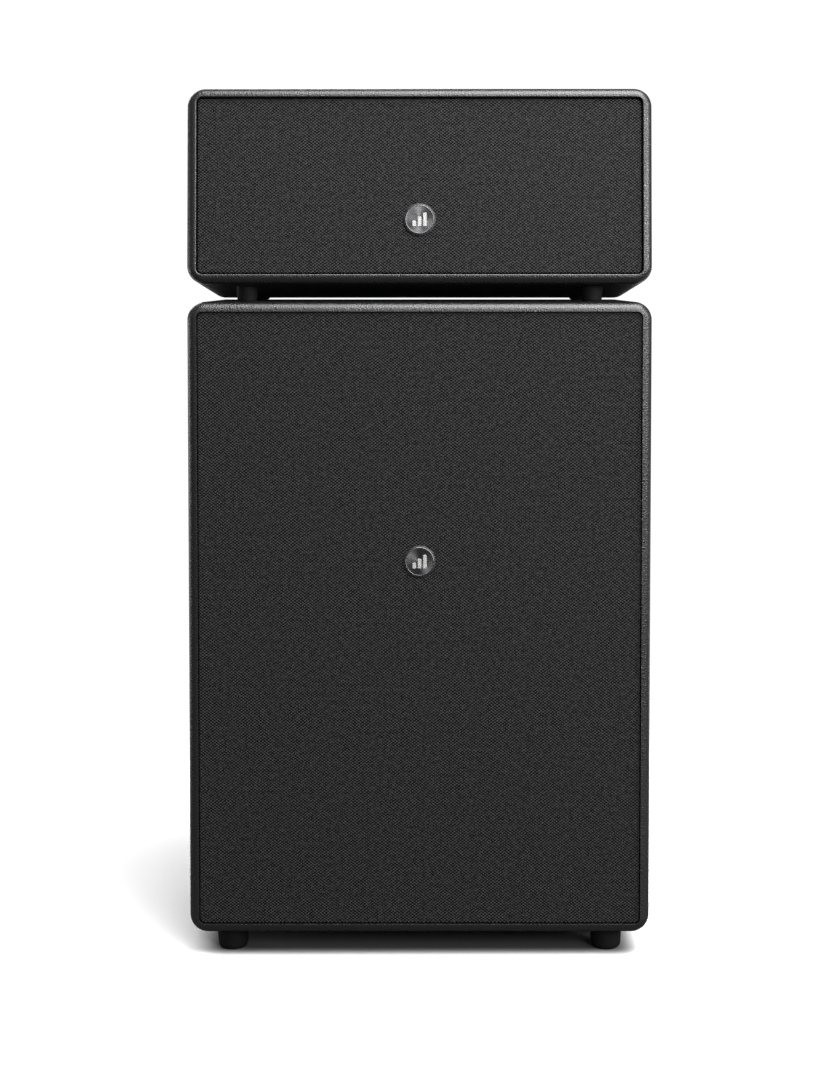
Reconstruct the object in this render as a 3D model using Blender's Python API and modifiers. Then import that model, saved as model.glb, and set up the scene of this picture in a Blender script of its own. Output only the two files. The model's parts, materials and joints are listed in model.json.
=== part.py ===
"""A stacked mini hifi system: a powered speaker head on rubber feet, leaning back on a tall bass cabinet.

Metres, +Z up, front towards -Y. The origin is on the floor, at the middle of the object's footprint.
Each cabinet has its own frame: x to the right, y from its front face backwards, z up from its underside.
"""

import math

import bmesh
import bpy
from mathutils import Vector

# Driving dimensions.
WIDTH = 0.410
DEPTH = 0.210
HEAD_HEIGHT = 0.173
SUB_HEIGHT = 0.563
SUB_FOOT_HEIGHT = 0.022
HEAD_TILT = math.radians(4.0)
HEAD_FRONT_GAP = 0.0159
GAP = 0.0003

# Cabinets: wood panels with a rounded, wrapped outside.
CORNER_RADIUS = 0.016
LIP_RADIUS = 0.008
BACK_RADIUS = 0.005
LIP_WIDTH = 0.0086
RECESS_RADIUS = 0.005
HEAD_WALL = 0.012
SUB_WALL = 0.015
HEAD_FRONT_RECESS = 0.0145
HEAD_BACK_RECESS = 0.014
SUB_FRONT_RECESS = 0.024
SUB_BACK_RECESS = 0.024
HEAD_BAFFLE = 0.012
SUB_BAFFLE = 0.015
HEAD_BACK_PANEL = 0.006
SUB_BACK_PANEL = 0.009

# Grilles: cloth stretched over a moulded frame that plugs into the baffle.
CLOTH = 0.0008
HEAD_CLOTH_FRONT = 0.0025
HEAD_CLOTH_GAP = 0.0009
HEAD_GRILLE_FRAME = 0.006
HEAD_GRILLE_RING = 0.011
SUB_CLOTH_FRONT = 0.0020
SUB_CLOTH_GAP = 0.0005
SUB_GRILLE_FRAME = 0.008
SUB_GRILLE_RING = 0.016
PEG_DEPTH = 0.010
HEAD_PEG = 0.0030
SUB_PEG = 0.0040
PEG_CLEARANCE = 0.0005

# Badges.
BADGE_RADIUS = 0.013
BADGE_THICKNESS = 0.0018
HEAD_BADGE_Z = 0.0567
SUB_BADGE_Z = 0.3334

# Loudspeakers.
WOOFER_X = 0.124
WOOFER_Z = 0.0865
WOOFER_HOLE = 0.0512
TWEETER_X = 0.034
TWEETER_Z = 0.112
TWEETER_HOLE = 0.0190
SUB_DRIVER_Z = 0.200
SUB_DRIVER_HOLE = 0.0945

# Controls on the head's top.
BUTTON_COUNT = 8
BUTTON_NAMES = ("power", "source", "volume_down", "volume_up", "preset_1", "preset_2", "preset_3", "preset_4")
BUTTON_PITCH = 0.0235
BUTTON_RADIUS = 0.0050
BUTTON_PROUD = 0.0008
CONTROL_Y = 0.105
CONTROL_SIZE = (0.206, 0.034, 0.0020)
CONTROL_SLOT = (0.190, 0.024)

# Feet.
HEAD_FOOT_X = 0.154
HEAD_FOOT_FRONT = 0.033
HEAD_FOOT_BACK = 0.180
SUB_FOOT_X = 0.169
SUB_FOOT_INSET = 0.034

# Back of the head.
HEAD_PORT_X = 0.118
HEAD_PORT_Z = 0.0865
HEAD_TERMINAL = (0.116, 0.003, 0.056)
HEAD_TERMINAL_X = -0.075
HEAD_TERMINAL_Z = 0.0865
MAINS_SLOT = (0.0165, 0.014, 0.0085)

# Back of the bass cabinet.
SUB_PORT_Z = 0.440
AMP_PLATE = (0.160, 0.003, 0.240)
AMP_PLATE_Z = 0.165
AMP_OPENING = (0.146, 0.226)
KNOB_X = 0.034
KNOB_Z = 0.160
KNOB_HOLE = 0.0036
SWITCH_X = 0.045
SWITCH_Z = 0.080
SWITCH_HOLE = (0.0128, 0.0224)
SWITCH_PIVOT = 0.004
SWITCH_ANGLE = math.radians(8.0)
SLIDER_Z = 0.120
SLIDER_SLOT = (0.0100, 0.0050)
SLIDER_X = -0.002
INLET_X = -0.038
INLET_Z = 0.080
HEAT_SINK_Z = 0.238

# Worked out from the driving dimensions.
HEAD_BACK_REACH = (
    (DEPTH - BACK_RADIUS) * math.cos(HEAD_TILT) + (HEAD_HEIGHT - BACK_RADIUS) * math.sin(HEAD_TILT) + BACK_RADIUS
)
FRONT_Y = -HEAD_BACK_REACH / 2
SUB_TOP = SUB_FOOT_HEIGHT + SUB_HEIGHT
HEAD_BAFFLE_Y = HEAD_FRONT_RECESS + GAP
SUB_BAFFLE_Y = SUB_FRONT_RECESS + GAP
HEAD_BACK_FACE = DEPTH - HEAD_BACK_RECESS + GAP + HEAD_BACK_PANEL
SUB_BACK_FACE = DEPTH - SUB_BACK_RECESS + GAP + SUB_BACK_PANEL
AMP_FACE = SUB_BACK_FACE + GAP + AMP_PLATE[1]
OPENING_X = WIDTH - 2 * LIP_WIDTH

FACING = {"up": 0.0, "front": math.pi / 2, "back": -math.pi / 2}

COLOURS = {
    "leatherette": ((0.020, 0.020, 0.021), 0.45, 0.0),
    "board": ((0.030, 0.029, 0.028), 0.70, 0.0),
    "black_plastic": ((0.018, 0.018, 0.019), 0.50, 0.0),
    "grille_cloth": ((0.040, 0.040, 0.041), 0.90, 0.0),
    "spun_aluminium": ((0.55, 0.55, 0.56), 0.30, 1.0),
    "foot_rubber": ((0.012, 0.012, 0.012), 0.80, 0.0),
    "painted_steel": ((0.020, 0.020, 0.021), 0.45, 0.5),
    "ferrite": ((0.060, 0.060, 0.065), 0.60, 0.3),
    "paper_cone": ((0.022, 0.022, 0.023), 0.75, 0.0),
    "surround_rubber": ((0.010, 0.010, 0.010), 0.60, 0.0),
    "silk_dome": ((0.030, 0.030, 0.032), 0.50, 0.0),
    "black_aluminium": ((0.030, 0.030, 0.032), 0.35, 1.0),
    "circuit_board": ((0.010, 0.090, 0.040), 0.50, 0.0),
    "copper_winding": ((0.60, 0.25, 0.08), 0.35, 1.0),
}


def clear_scene():
    for obj in list(bpy.data.objects):
        bpy.data.objects.remove(obj)


def make_collection(name):
    found = bpy.data.collections.new(name)
    bpy.context.scene.collection.children.link(found)
    return found


def make_materials():
    made = {}
    for name, (colour, roughness, metallic) in COLOURS.items():
        material = bpy.data.materials.new(name)
        material.use_nodes = True
        shader = material.node_tree.nodes["Principled BSDF"]
        shader.inputs["Base Color"].default_value = (*colour, 1.0)
        shader.inputs["Roughness"].default_value = roughness
        shader.inputs["Metallic"].default_value = metallic
        made[name] = material
    return made


clear_scene()
PARTS = make_collection("mini_hifi_system")
CUTTERS = make_collection("cutters")
MATERIALS = make_materials()


def cabinet_frame(name, location, tilt):
    """An empty that holds one cabinet's own frame."""
    empty = bpy.data.objects.new(name, None)
    PARTS.objects.link(empty)
    empty.location = location
    empty.rotation_euler = (tilt, 0, 0)
    return empty


def place(name, mesh, frame, centre, material):
    """Adds a part, or a hidden helper if material is None, at a point of the frame."""
    obj = bpy.data.objects.new(name, mesh)
    if material is None:
        CUTTERS.objects.link(obj)
        obj.hide_render = True
        obj.display_type = "WIRE"
    else:
        PARTS.objects.link(obj)
        mesh.materials.append(MATERIALS[material])
    obj.parent = frame
    obj.location = centre
    return obj


def block(name, frame, size, centre, material=None, corner=0.0, corner_axis=1, lips=(0.0, 0.0), steps=3):
    """A box. The four edges along corner_axis get the corner radius, and the front and back rims get the lips."""
    bm = bmesh.new()
    bmesh.ops.create_cube(bm, size=1.0)
    bmesh.ops.scale(bm, vec=size, verts=bm.verts)

    def along(edge, axis):
        side = (edge.verts[1].co - edge.verts[0].co).normalized()
        return abs(side[axis]) > 0.99

    if corner:
        edges = [e for e in bm.edges if along(e, corner_axis)]
        bmesh.ops.bevel(bm, geom=edges, offset=corner, segments=steps, profile=0.5, affect="EDGES")
    for radius, y in zip(lips, (-size[1] / 2, size[1] / 2)):
        if radius:
            rim = [e for e in bm.edges if all(abs(v.co.y - y) < 1e-6 for v in e.verts)]
            bmesh.ops.bevel(bm, geom=rim, offset=radius, segments=steps, profile=0.5, affect="EDGES")
    mesh = bpy.data.meshes.new(name)
    bm.to_mesh(mesh)
    bm.free()
    return place(name, mesh, frame, centre, material)


def rod(name, frame, radius, start, length, facing, material=None, steps=16):
    """A round bar from start, running length along the facing direction."""
    bm = bmesh.new()
    bmesh.ops.create_cone(bm, cap_ends=True, segments=steps, radius1=radius, radius2=radius, depth=length)
    bmesh.ops.translate(bm, vec=(0, 0, length / 2), verts=bm.verts)
    mesh = bpy.data.meshes.new(name)
    bm.to_mesh(mesh)
    bm.free()
    obj = place(name, mesh, frame, start, material)
    obj.rotation_euler.x = FACING[facing]
    return obj


def turned(name, frame, profile, centre, facing, material=None, steps=24, closed=False):
    """A turned shape. The profile is (radius, height) points, with height along the facing direction."""
    bm = bmesh.new()
    points = [bm.verts.new((radius, 0, height)) for radius, height in profile]
    for first, second in zip(points, points[1:]):
        bm.edges.new((first, second))
    if closed:
        bm.edges.new((points[-1], points[0]))
    mesh = bpy.data.meshes.new(name)
    bm.to_mesh(mesh)
    bm.free()
    obj = place(name, mesh, frame, centre, material)
    obj.rotation_euler.x = FACING[facing]
    screw = obj.modifiers.new("turn", "SCREW")
    screw.steps = steps
    screw.render_steps = steps
    screw.use_merge_vertices = True
    screw.merge_threshold = 0.00001
    screw.use_smooth_shade = True
    return obj


def combine(obj, tool, operation="DIFFERENCE"):
    modifier = obj.modifiers.new(tool.name, "BOOLEAN")
    modifier.operation = operation
    modifier.object = tool


def sided(name, x):
    """Names a part by the side that it is on, seen from the front."""
    return f"{name}_left" if x < 0 else f"{name}_right"


def cabinet(name, frame, height, wall, front_recess, back_recess):
    """The wrapped box: a sleeve with a rounded front lip, a recess at each end and thicker walls between."""
    middle = height / 2
    shell = block(
        name, frame, (WIDTH, DEPTH, height), (0, DEPTH / 2, middle), "leatherette",
        corner=CORNER_RADIUS, lips=(LIP_RADIUS, BACK_RADIUS), steps=4,
    )
    opening = (OPENING_X, height - 2 * LIP_WIDTH)
    over = 0.02
    front = block(
        f"{name}_front_recess", frame, (opening[0], front_recess + over, opening[1]),
        (0, (front_recess - over) / 2, middle), corner=RECESS_RADIUS, steps=2,
    )
    back = block(
        f"{name}_back_recess", frame, (opening[0], back_recess + over, opening[1]),
        (0, DEPTH - (back_recess - over) / 2, middle), corner=RECESS_RADIUS, steps=2,
    )
    hollow = block(
        f"{name}_hollow", frame, (WIDTH - 2 * wall, DEPTH + over, height - 2 * wall),
        (0, DEPTH / 2, middle), corner=RECESS_RADIUS, steps=2,
    )
    for tool in (front, back, hollow):
        combine(shell, tool)
    return shell


def panel(name, frame, size, front, middle, holes, material="board"):
    """A board across the cabinet, with its front face at front, and a hole for each cutter."""
    board = block(name, frame, size, (0, front + size[1] / 2, middle), material, corner=RECESS_RADIUS, steps=2)
    for tool in holes:
        combine(board, tool)
    return board


def round_hole(name, frame, radius, x, z, front, thickness, steps=20):
    over = 0.01
    return rod(name, frame, radius, (x, front - over, z), thickness + 2 * over, "back", steps=steps)


def grille(name, frame, height, cloth_front, cloth_gap, thickness, ring, bars, pegs, peg_radius, boss, peg_end):
    """The frame with its cross bars, pegs and badge boss, and the sheet of cloth stretched over its front."""
    middle = height / 2
    outer = (OPENING_X - 2 * cloth_gap, height - 2 * LIP_WIDTH - 2 * cloth_gap)
    cloth = block(
        f"{name}_cloth", frame, (outer[0], CLOTH, outer[1]), (0, cloth_front + CLOTH / 2, middle), "grille_cloth",
        corner=RECESS_RADIUS - cloth_gap,
    )

    trim = 2 * (CLOTH + GAP)
    front = cloth_front + CLOTH + GAP
    size = (outer[0] - trim, thickness, outer[1] - trim)
    centre_y = front + thickness / 2
    holder = block(
        f"{name}_frame", frame, size, (0, centre_y, middle), "black_plastic",
        corner=RECESS_RADIUS - cloth_gap - CLOTH - GAP, steps=2,
    )
    window = block(
        f"{name}_window", frame, (size[0] - 2 * ring, 3 * thickness, size[2] - 2 * ring), (0, centre_y, middle),
    )
    combine(holder, window)
    overlap = 0.002
    for number, (bar_size, bar_centre) in enumerate(bars):
        bar = block(
            f"{name}_bar_{number}", frame, (bar_size[0] + overlap, thickness - GAP, bar_size[1] + overlap),
            (bar_centre[0], centre_y, bar_centre[1]),
        )
        combine(holder, bar, "UNION")
    seat = rod(f"{name}_boss", frame, boss[0], (0, front + GAP, boss[1]), thickness - 2 * GAP, "back", steps=16)
    combine(holder, seat, "UNION")
    for number, (x, z) in enumerate(pegs):
        start = front + thickness / 2
        peg = rod(f"{name}_peg_{number}", frame, peg_radius, (x, start, z), peg_end - start, "back", steps=8)
        combine(holder, peg, "UNION")
    return cloth, holder


def badge(name, frame, cloth_front, z):
    """A round badge with a bevelled rim, standing on the cloth."""
    rim = 0.0006
    profile = [
        (0, BADGE_THICKNESS),
        (BADGE_RADIUS - rim, BADGE_THICKNESS),
        (BADGE_RADIUS, BADGE_THICKNESS - rim),
        (BADGE_RADIUS, 0),
        (0, 0),
    ]
    return turned(name, frame, profile, (0, cloth_front - GAP, z), "front", "spun_aluminium", steps=28)


def arc(centre, radius, start, end, count):
    """Points on a circle, in degrees from the +radius axis towards +height."""
    angles = [math.radians(start + (end - start) * i / count) for i in range(count + 1)]
    return [(centre[0] + radius * math.cos(a), centre[1] + radius * math.sin(a)) for a in angles]


def roll_surround(name, frame, outer, inner, landing, crest, thickness, centre, steps):
    """A half-round rubber roll from the basket's landing, at outer, down to the cone's rim, at inner."""
    count = 4
    upper = []
    for i in range(count + 1):
        share = i / count
        radius = (outer[0] + inner[0]) / 2 + (outer[0] - inner[0]) / 2 * math.cos(math.pi * share)
        height = outer[1] + (inner[1] - outer[1]) * share + crest * math.sin(math.pi * share)
        upper.append((radius, height))
    lower = [(radius - 0.15 * thickness, height - thickness) for radius, height in upper[1:-1]]
    foot = inner[0] - landing / 2
    profile = (
        list(reversed(upper))
        + [(outer[0] + landing, outer[1]), (outer[0] + landing, outer[1] - thickness)]
        + [(outer[0] - 0.2 * thickness, outer[1] - thickness)]
        + lower
        + [(inner[0] - 0.2 * thickness, inner[1] - thickness), (foot, inner[1] - thickness), (foot, inner[1])]
    )
    return turned(name, frame, profile, centre, "front", "surround_rubber", steps=steps, closed=True)


def windows(name, basket, frame, centre, reach, width, near, far, count):
    """Cuts the open windows of a basket: bars through its axis, between two depths behind the flange."""
    for number in range(count):
        tool = block(f"{name}_window_{number}", frame, (2 * reach, far - near, width), Vector(centre) + Vector(
            (0, (near + far) / 2, 0)))
        tool.rotation_euler.y = math.pi * (number + 0.5) / count
        combine(basket, tool)


def woofer(side, frame, x):
    """A 115 mm bass-midrange driver: basket, magnet, rubber surround, and the cone with its cap and coil former."""
    name = f"woofer_{side}"
    centre = (x, HEAD_BAFFLE_Y, WOOFER_Z)
    steps = 20
    basket = turned(
        f"{name}_basket", frame,
        [
            (0.0540, 0.0030), (0.0590, 0.0030), (0.0590, GAP), (0.0505, GAP), (0.0505, -0.0040),
            (0.0300, -0.0340), (0.0300, -0.0400), (0.0136, -0.0400), (0.0136, -0.0380), (0.0285, -0.0380),
            (0.0285, -0.0345), (0.0487, -0.0040), (0.0487, 0.0012), (0.0540, 0.0012),
        ],
        centre, "front", "painted_steel", steps=steps, closed=True,
    )
    windows(name, basket, frame, centre, 0.060, 0.018, 0.0095, 0.0310, 3)
    turned(
        f"{name}_magnet", frame,
        [
            (0, -0.0403), (0.0112, -0.0403), (0.0112, -0.0600), (0.0133, -0.0600), (0.0133, -0.0403),
            (0.0350, -0.0403), (0.0350, -0.0660), (0, -0.0660),
        ],
        centre, "front", "ferrite", steps=16,
    )
    cap = arc((0, -0.0340), 0.0205, 90, 40, 3)
    turned(
        f"{name}_cone", frame,
        cap
        + [
            (0.0410, -0.0042), (0.0436, -0.0040), (0.0436, -0.0052), (0.0412, -0.0055), (0.0128, -0.0268),
            (0.0126, -0.0500), (0.0118, -0.0500), (0.0118, -0.0195), (0.0060, -0.0158), (0, -0.0147),
        ],
        centre, "front", "paper_cone", steps=steps,
    )
    roll_surround(
        f"{name}_surround", frame, (0.0500, 0.0025), (0.0430, -0.0026), 0.0037, 0.0045, 0.0010, centre, steps
    )


def tweeter(side, frame, x):
    """A 25 mm dome tweeter: the faceplate with its motor cup, and the dome."""
    name = f"tweeter_{side}"
    centre = (x, HEAD_BAFFLE_Y, TWEETER_Z)
    turned(
        f"{name}_body", frame,
        [
            (0, -0.0040), (0.0146, -0.0040), (0.0146, 0.0018), (0.0180, 0.0033), (0.0260, 0.0033),
            (0.0260, GAP), (0.0182, GAP), (0.0182, -0.0220), (0, -0.0220),
        ],
        centre, "front", "black_plastic", steps=16,
    )
    outside = arc((0, -0.0136), 0.0190, 90, 47, 3)
    inside = arc((0, -0.0136), 0.0183, 47, 90, 2)
    turned(
        f"{name}_dome", frame,
        outside + [(0.0141, GAP), (0.0141, -GAP), (0.0126, -0.0006)] + inside,
        centre, "front", "silk_dome", steps=16,
    )


def bass_driver(frame):
    """The 210 mm bass driver, with the same four parts as a woofer."""
    centre = (0, SUB_BAFFLE_Y, SUB_DRIVER_Z)
    steps = 24
    basket = turned(
        "sub_driver_basket", frame,
        [
            (0.0985, 0.0040), (0.1060, 0.0040), (0.1060, GAP), (0.0935, GAP), (0.0935, -0.0060),
            (0.0560, -0.0620), (0.0560, -0.0680), (0.0268, -0.0680), (0.0268, -0.0650), (0.0535, -0.0650),
            (0.0535, -0.0625), (0.0907, -0.0060), (0.0907, 0.0020), (0.0985, 0.0020),
        ],
        centre, "front", "painted_steel", steps=steps, closed=True,
    )
    windows("sub_driver", basket, frame, centre, 0.110, 0.034, 0.0150, 0.0570, 3)
    turned(
        "sub_driver_magnet", frame,
        [
            (0, -0.0683), (0.0234, -0.0683), (0.0234, -0.1000), (0.0266, -0.1000), (0.0266, -0.0683),
            (0.0700, -0.0683), (0.0700, -0.1050), (0, -0.1050),
        ],
        centre, "front", "ferrite", steps=20,
    )
    cap = arc((0, -0.0640), 0.0420, 90, 40, 4)
    turned(
        "sub_driver_cone", frame,
        cap
        + [
            (0.0770, -0.0062), (0.0806, -0.0060), (0.0806, -0.0078), (0.0774, -0.0082), (0.0256, -0.0470),
            (0.0254, -0.0840), (0.0244, -0.0840), (0.0244, -0.0340), (0.0130, -0.0260), (0, -0.0236),
        ],
        centre, "front", "paper_cone", steps=steps,
    )
    roll_surround(
        "sub_driver_surround", frame, (0.0915, 0.0035), (0.0792, -0.0042), 0.0065, 0.0085, 0.0014, centre, steps
    )


def port(name, frame, x, z, radius, wall, length, face, flare):
    """A bass port: a tube with a flared flange on the back panel's outer face."""
    flange = 0.002
    profile = [
        (radius + wall + flare, flange),
        (radius + wall + flare, GAP),
        (radius + wall, GAP),
        (radius + wall, -length),
        (radius, -length),
        (radius, -0.012),
        (radius + 0.7 * flare, flange),
    ]
    turned(name, frame, profile, (x, face, z), "back", "black_plastic", steps=16, closed=True)


def circuit_board(name, frame, size, centre, end):
    """A board on four stand-offs that reach back to the panel behind it."""
    x, y, z = centre
    board = block(name, frame, (size[0], 0.0016, size[1]), centre, "circuit_board")
    for number, (across, up) in enumerate(((-1, -1), (1, -1), (-1, 1), (1, 1))):
        post = block(
            f"{name}_post_{number}", frame, (0.006, end - y, 0.006),
            (x + across * (size[0] / 2 - 0.005), (y + end) / 2, z + up * (size[1] / 2 - 0.005)),
        )
        combine(board, post, "UNION")


def control_panel(frame):
    """The plate let into the head's top, with its row of push buttons."""
    width, depth, thickness = CONTROL_SIZE
    top = HEAD_HEIGHT
    plate = block(
        "control_panel", frame, CONTROL_SIZE, (0, CONTROL_Y, top - thickness / 2), "black_aluminium",
        corner=0.006, corner_axis=2,
    )
    for number, title in enumerate(BUTTON_NAMES):
        x = (number - (BUTTON_COUNT - 1) / 2) * BUTTON_PITCH
        hole = rod(
            f"button_hole_{number}", frame, BUTTON_RADIUS + 0.0004, (x, CONTROL_Y, top - 2 * thickness),
            4 * thickness, "up", steps=12,
        )
        combine(plate, hole)
        edge = 0.0004
        profile = [
            (0, BUTTON_PROUD),
            (BUTTON_RADIUS - edge, BUTTON_PROUD),
            (BUTTON_RADIUS, BUTTON_PROUD - edge),
            (BUTTON_RADIUS, -thickness - 0.0004),
            (BUTTON_RADIUS + 0.0012, -thickness - 0.0004),
            (BUTTON_RADIUS + 0.0012, -thickness - 0.0016),
            (0, -thickness - 0.0016),
        ]
        turned(f"button_{title}", frame, profile, (x, CONTROL_Y, top), "up", "spun_aluminium", steps=12)


def head_top_cutters(frame):
    """The shallow pocket for the control plate and the slot under its buttons."""
    width, depth, thickness = CONTROL_SIZE
    over = 0.01
    pocket = block(
        "control_pocket", frame, (width + 2 * GAP, depth + 2 * GAP, thickness + GAP + over),
        (0, CONTROL_Y, HEAD_HEIGHT + (over - thickness - GAP) / 2), corner=0.006 + GAP, corner_axis=2,
    )
    slot = block(
        "control_slot", frame, (*CONTROL_SLOT, 4 * HEAD_WALL), (0, CONTROL_Y, HEAD_HEIGHT - HEAD_WALL),
        corner=0.006, corner_axis=2,
    )
    return pocket, slot


def head(frame):
    """The speaker head: two woofers, two tweeters, a bass port, the controls and its own electronics."""
    shell = cabinet("head_cabinet", frame, HEAD_HEIGHT, HEAD_WALL, HEAD_FRONT_RECESS, HEAD_BACK_RECESS)
    for tool in head_top_cutters(frame):
        combine(shell, tool)
    middle = HEAD_HEIGHT / 2
    inner = (WIDTH - 2 * HEAD_WALL - 2 * GAP, HEAD_HEIGHT - 2 * HEAD_WALL - 2 * GAP)

    peg_x, peg_z = 0.1865, 0.0670
    pegs = [(x, middle + z) for x in (-peg_x, peg_x) for z in (-peg_z, peg_z)]
    holes = [round_hole(sided("woofer_hole", x), frame, WOOFER_HOLE, x, WOOFER_Z, HEAD_BAFFLE_Y, HEAD_BAFFLE)
             for x in (-WOOFER_X, WOOFER_X)]
    holes += [round_hole(sided("tweeter_hole", x), frame, TWEETER_HOLE, x, TWEETER_Z, HEAD_BAFFLE_Y, HEAD_BAFFLE)
              for x in (-TWEETER_X, TWEETER_X)]
    holes += [round_hole(f"head_peg_hole_{n}", frame, HEAD_PEG + PEG_CLEARANCE, x, z, HEAD_BAFFLE_Y, HEAD_BAFFLE, 8)
              for n, (x, z) in enumerate(pegs)]
    panel("head_baffle", frame, (inner[0], HEAD_BAFFLE, inner[1]), HEAD_BAFFLE_Y, middle, holes)

    rib_x, rib_width, bar_height = 0.0635, 0.006, 0.010
    window_height = HEAD_HEIGHT - 2 * LIP_WIDTH - 2 * HEAD_GRILLE_RING
    bars = [((rib_width, window_height), (x, middle)) for x in (-rib_x, rib_x)]
    bars.append(((2 * rib_x, bar_height), (0, HEAD_BADGE_Z)))
    grille(
        "head_grille", frame, HEAD_HEIGHT, HEAD_CLOTH_FRONT, HEAD_CLOTH_GAP, HEAD_GRILLE_FRAME, HEAD_GRILLE_RING,
        bars, pegs, HEAD_PEG, (0.012, HEAD_BADGE_Z), HEAD_BAFFLE_Y + PEG_DEPTH,
    )
    badge("head_badge", frame, HEAD_CLOTH_FRONT, HEAD_BADGE_Z)

    for side, sign in (("left", -1), ("right", 1)):
        woofer(side, frame, sign * WOOFER_X)
        tweeter(side, frame, sign * TWEETER_X)

    control_panel(frame)
    head_back(frame, middle)


def head_back(frame, middle):
    """The head's back panel with its port, the socket plate, and the boards behind it."""
    opening = (OPENING_X - 2 * GAP, HEAD_HEIGHT - 2 * LIP_WIDTH - 2 * GAP)
    front = DEPTH - HEAD_BACK_RECESS + GAP
    body = (HEAD_TERMINAL[0] - 0.008, 0.018, HEAD_TERMINAL[2] - 0.008)
    port_radius, port_wall = 0.020, 0.002
    holes = [
        round_hole("head_port_hole", frame, port_radius + port_wall + GAP, HEAD_PORT_X, HEAD_PORT_Z, front,
                   HEAD_BACK_PANEL),
        block("terminal_hole", frame, (body[0] + 2 * GAP, 0.04, body[2] + 2 * GAP),
              (HEAD_TERMINAL_X, HEAD_BACK_FACE, HEAD_TERMINAL_Z)),
    ]
    panel("head_rear_panel", frame, (opening[0], HEAD_BACK_PANEL, opening[1]), front, middle, holes, "black_plastic")
    port("head_port_tube", frame, HEAD_PORT_X, HEAD_PORT_Z, port_radius, port_wall, 0.095, HEAD_BACK_FACE, 0.007)

    face = HEAD_BACK_FACE + GAP + HEAD_TERMINAL[1]
    plate = block(
        "head_terminal_plate", frame, HEAD_TERMINAL, (HEAD_TERMINAL_X, face - HEAD_TERMINAL[1] / 2, HEAD_TERMINAL_Z),
        "black_plastic", corner=0.004, steps=2,
    )
    cup = block("terminal_cup", frame, body, (HEAD_TERMINAL_X, face - 0.001 - body[1] / 2, HEAD_TERMINAL_Z))
    combine(plate, cup, "UNION")
    slot = block(
        "mains_slot", frame, (MAINS_SLOT[0], 2 * MAINS_SLOT[1], MAINS_SLOT[2]),
        (HEAD_TERMINAL_X - 0.038, face, HEAD_TERMINAL_Z), corner=0.004, steps=2,
    )
    combine(plate, slot)
    for number in range(3):
        x = HEAD_TERMINAL_X - 0.004 + 0.018 * number
        barrel = rod(f"line_socket_{number}", frame, 0.0042, (x, face - 0.002, HEAD_TERMINAL_Z), 0.0065, "back",
                     steps=12)
        combine(plate, barrel, "UNION")
        pin_hole = rod(f"line_socket_hole_{number}", frame, 0.0017, (x, face - 0.004, HEAD_TERMINAL_Z), 0.02,
                       "back", steps=8)
        combine(plate, pin_hole)

    circuit_board("head_circuit_board", frame, (0.130, 0.100), (-0.070, 0.168, middle), front - GAP)
    block("head_power_supply", frame, (0.070, 0.040, 0.050), (0.042, 0.150, HEAD_WALL + GAP + 0.025), "black_aluminium")


def head_feet(frame):
    """Round rubber feet. Their tops are cut to the leaning underside, so the front pair is taller."""
    underside = block("head_underside", frame, (2 * WIDTH, 2 * DEPTH, 0.1), (0, DEPTH / 2, 0.05 - GAP))
    height, top_radius, base_radius, edge = 0.018, 0.0100, 0.0090, 0.0010
    profile = [(0, height), (top_radius, height), (base_radius, edge), (base_radius - edge, 0), (0, 0)]
    for place_name, depth in (("front", HEAD_FOOT_FRONT), ("rear", HEAD_FOOT_BACK)):
        for x in (-HEAD_FOOT_X, HEAD_FOOT_X):
            foot = turned(
                sided(f"head_foot_{place_name}", x), None, profile, (x, FRONT_Y + depth, SUB_TOP + GAP), "up",
                "foot_rubber", steps=16,
            )
            combine(foot, underside)


def sub_feet():
    """Tapered rubber feet with rounded soles."""
    top_radius, base_radius = 0.0147, 0.0132
    sole = [(0.0125, 0.0015), (0.0105, 0)]
    profile = [(0, SUB_FOOT_HEIGHT - GAP), (top_radius, SUB_FOOT_HEIGHT - GAP), (base_radius, 0.0040), *sole, (0, 0)]
    for place_name, depth in (("front", SUB_FOOT_INSET), ("rear", DEPTH - SUB_FOOT_INSET)):
        for x in (-SUB_FOOT_X, SUB_FOOT_X):
            turned(
                sided(f"sub_foot_{place_name}", x), None, profile, (x, FRONT_Y + depth, 0), "up", "foot_rubber",
                steps=20,
            )


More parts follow.
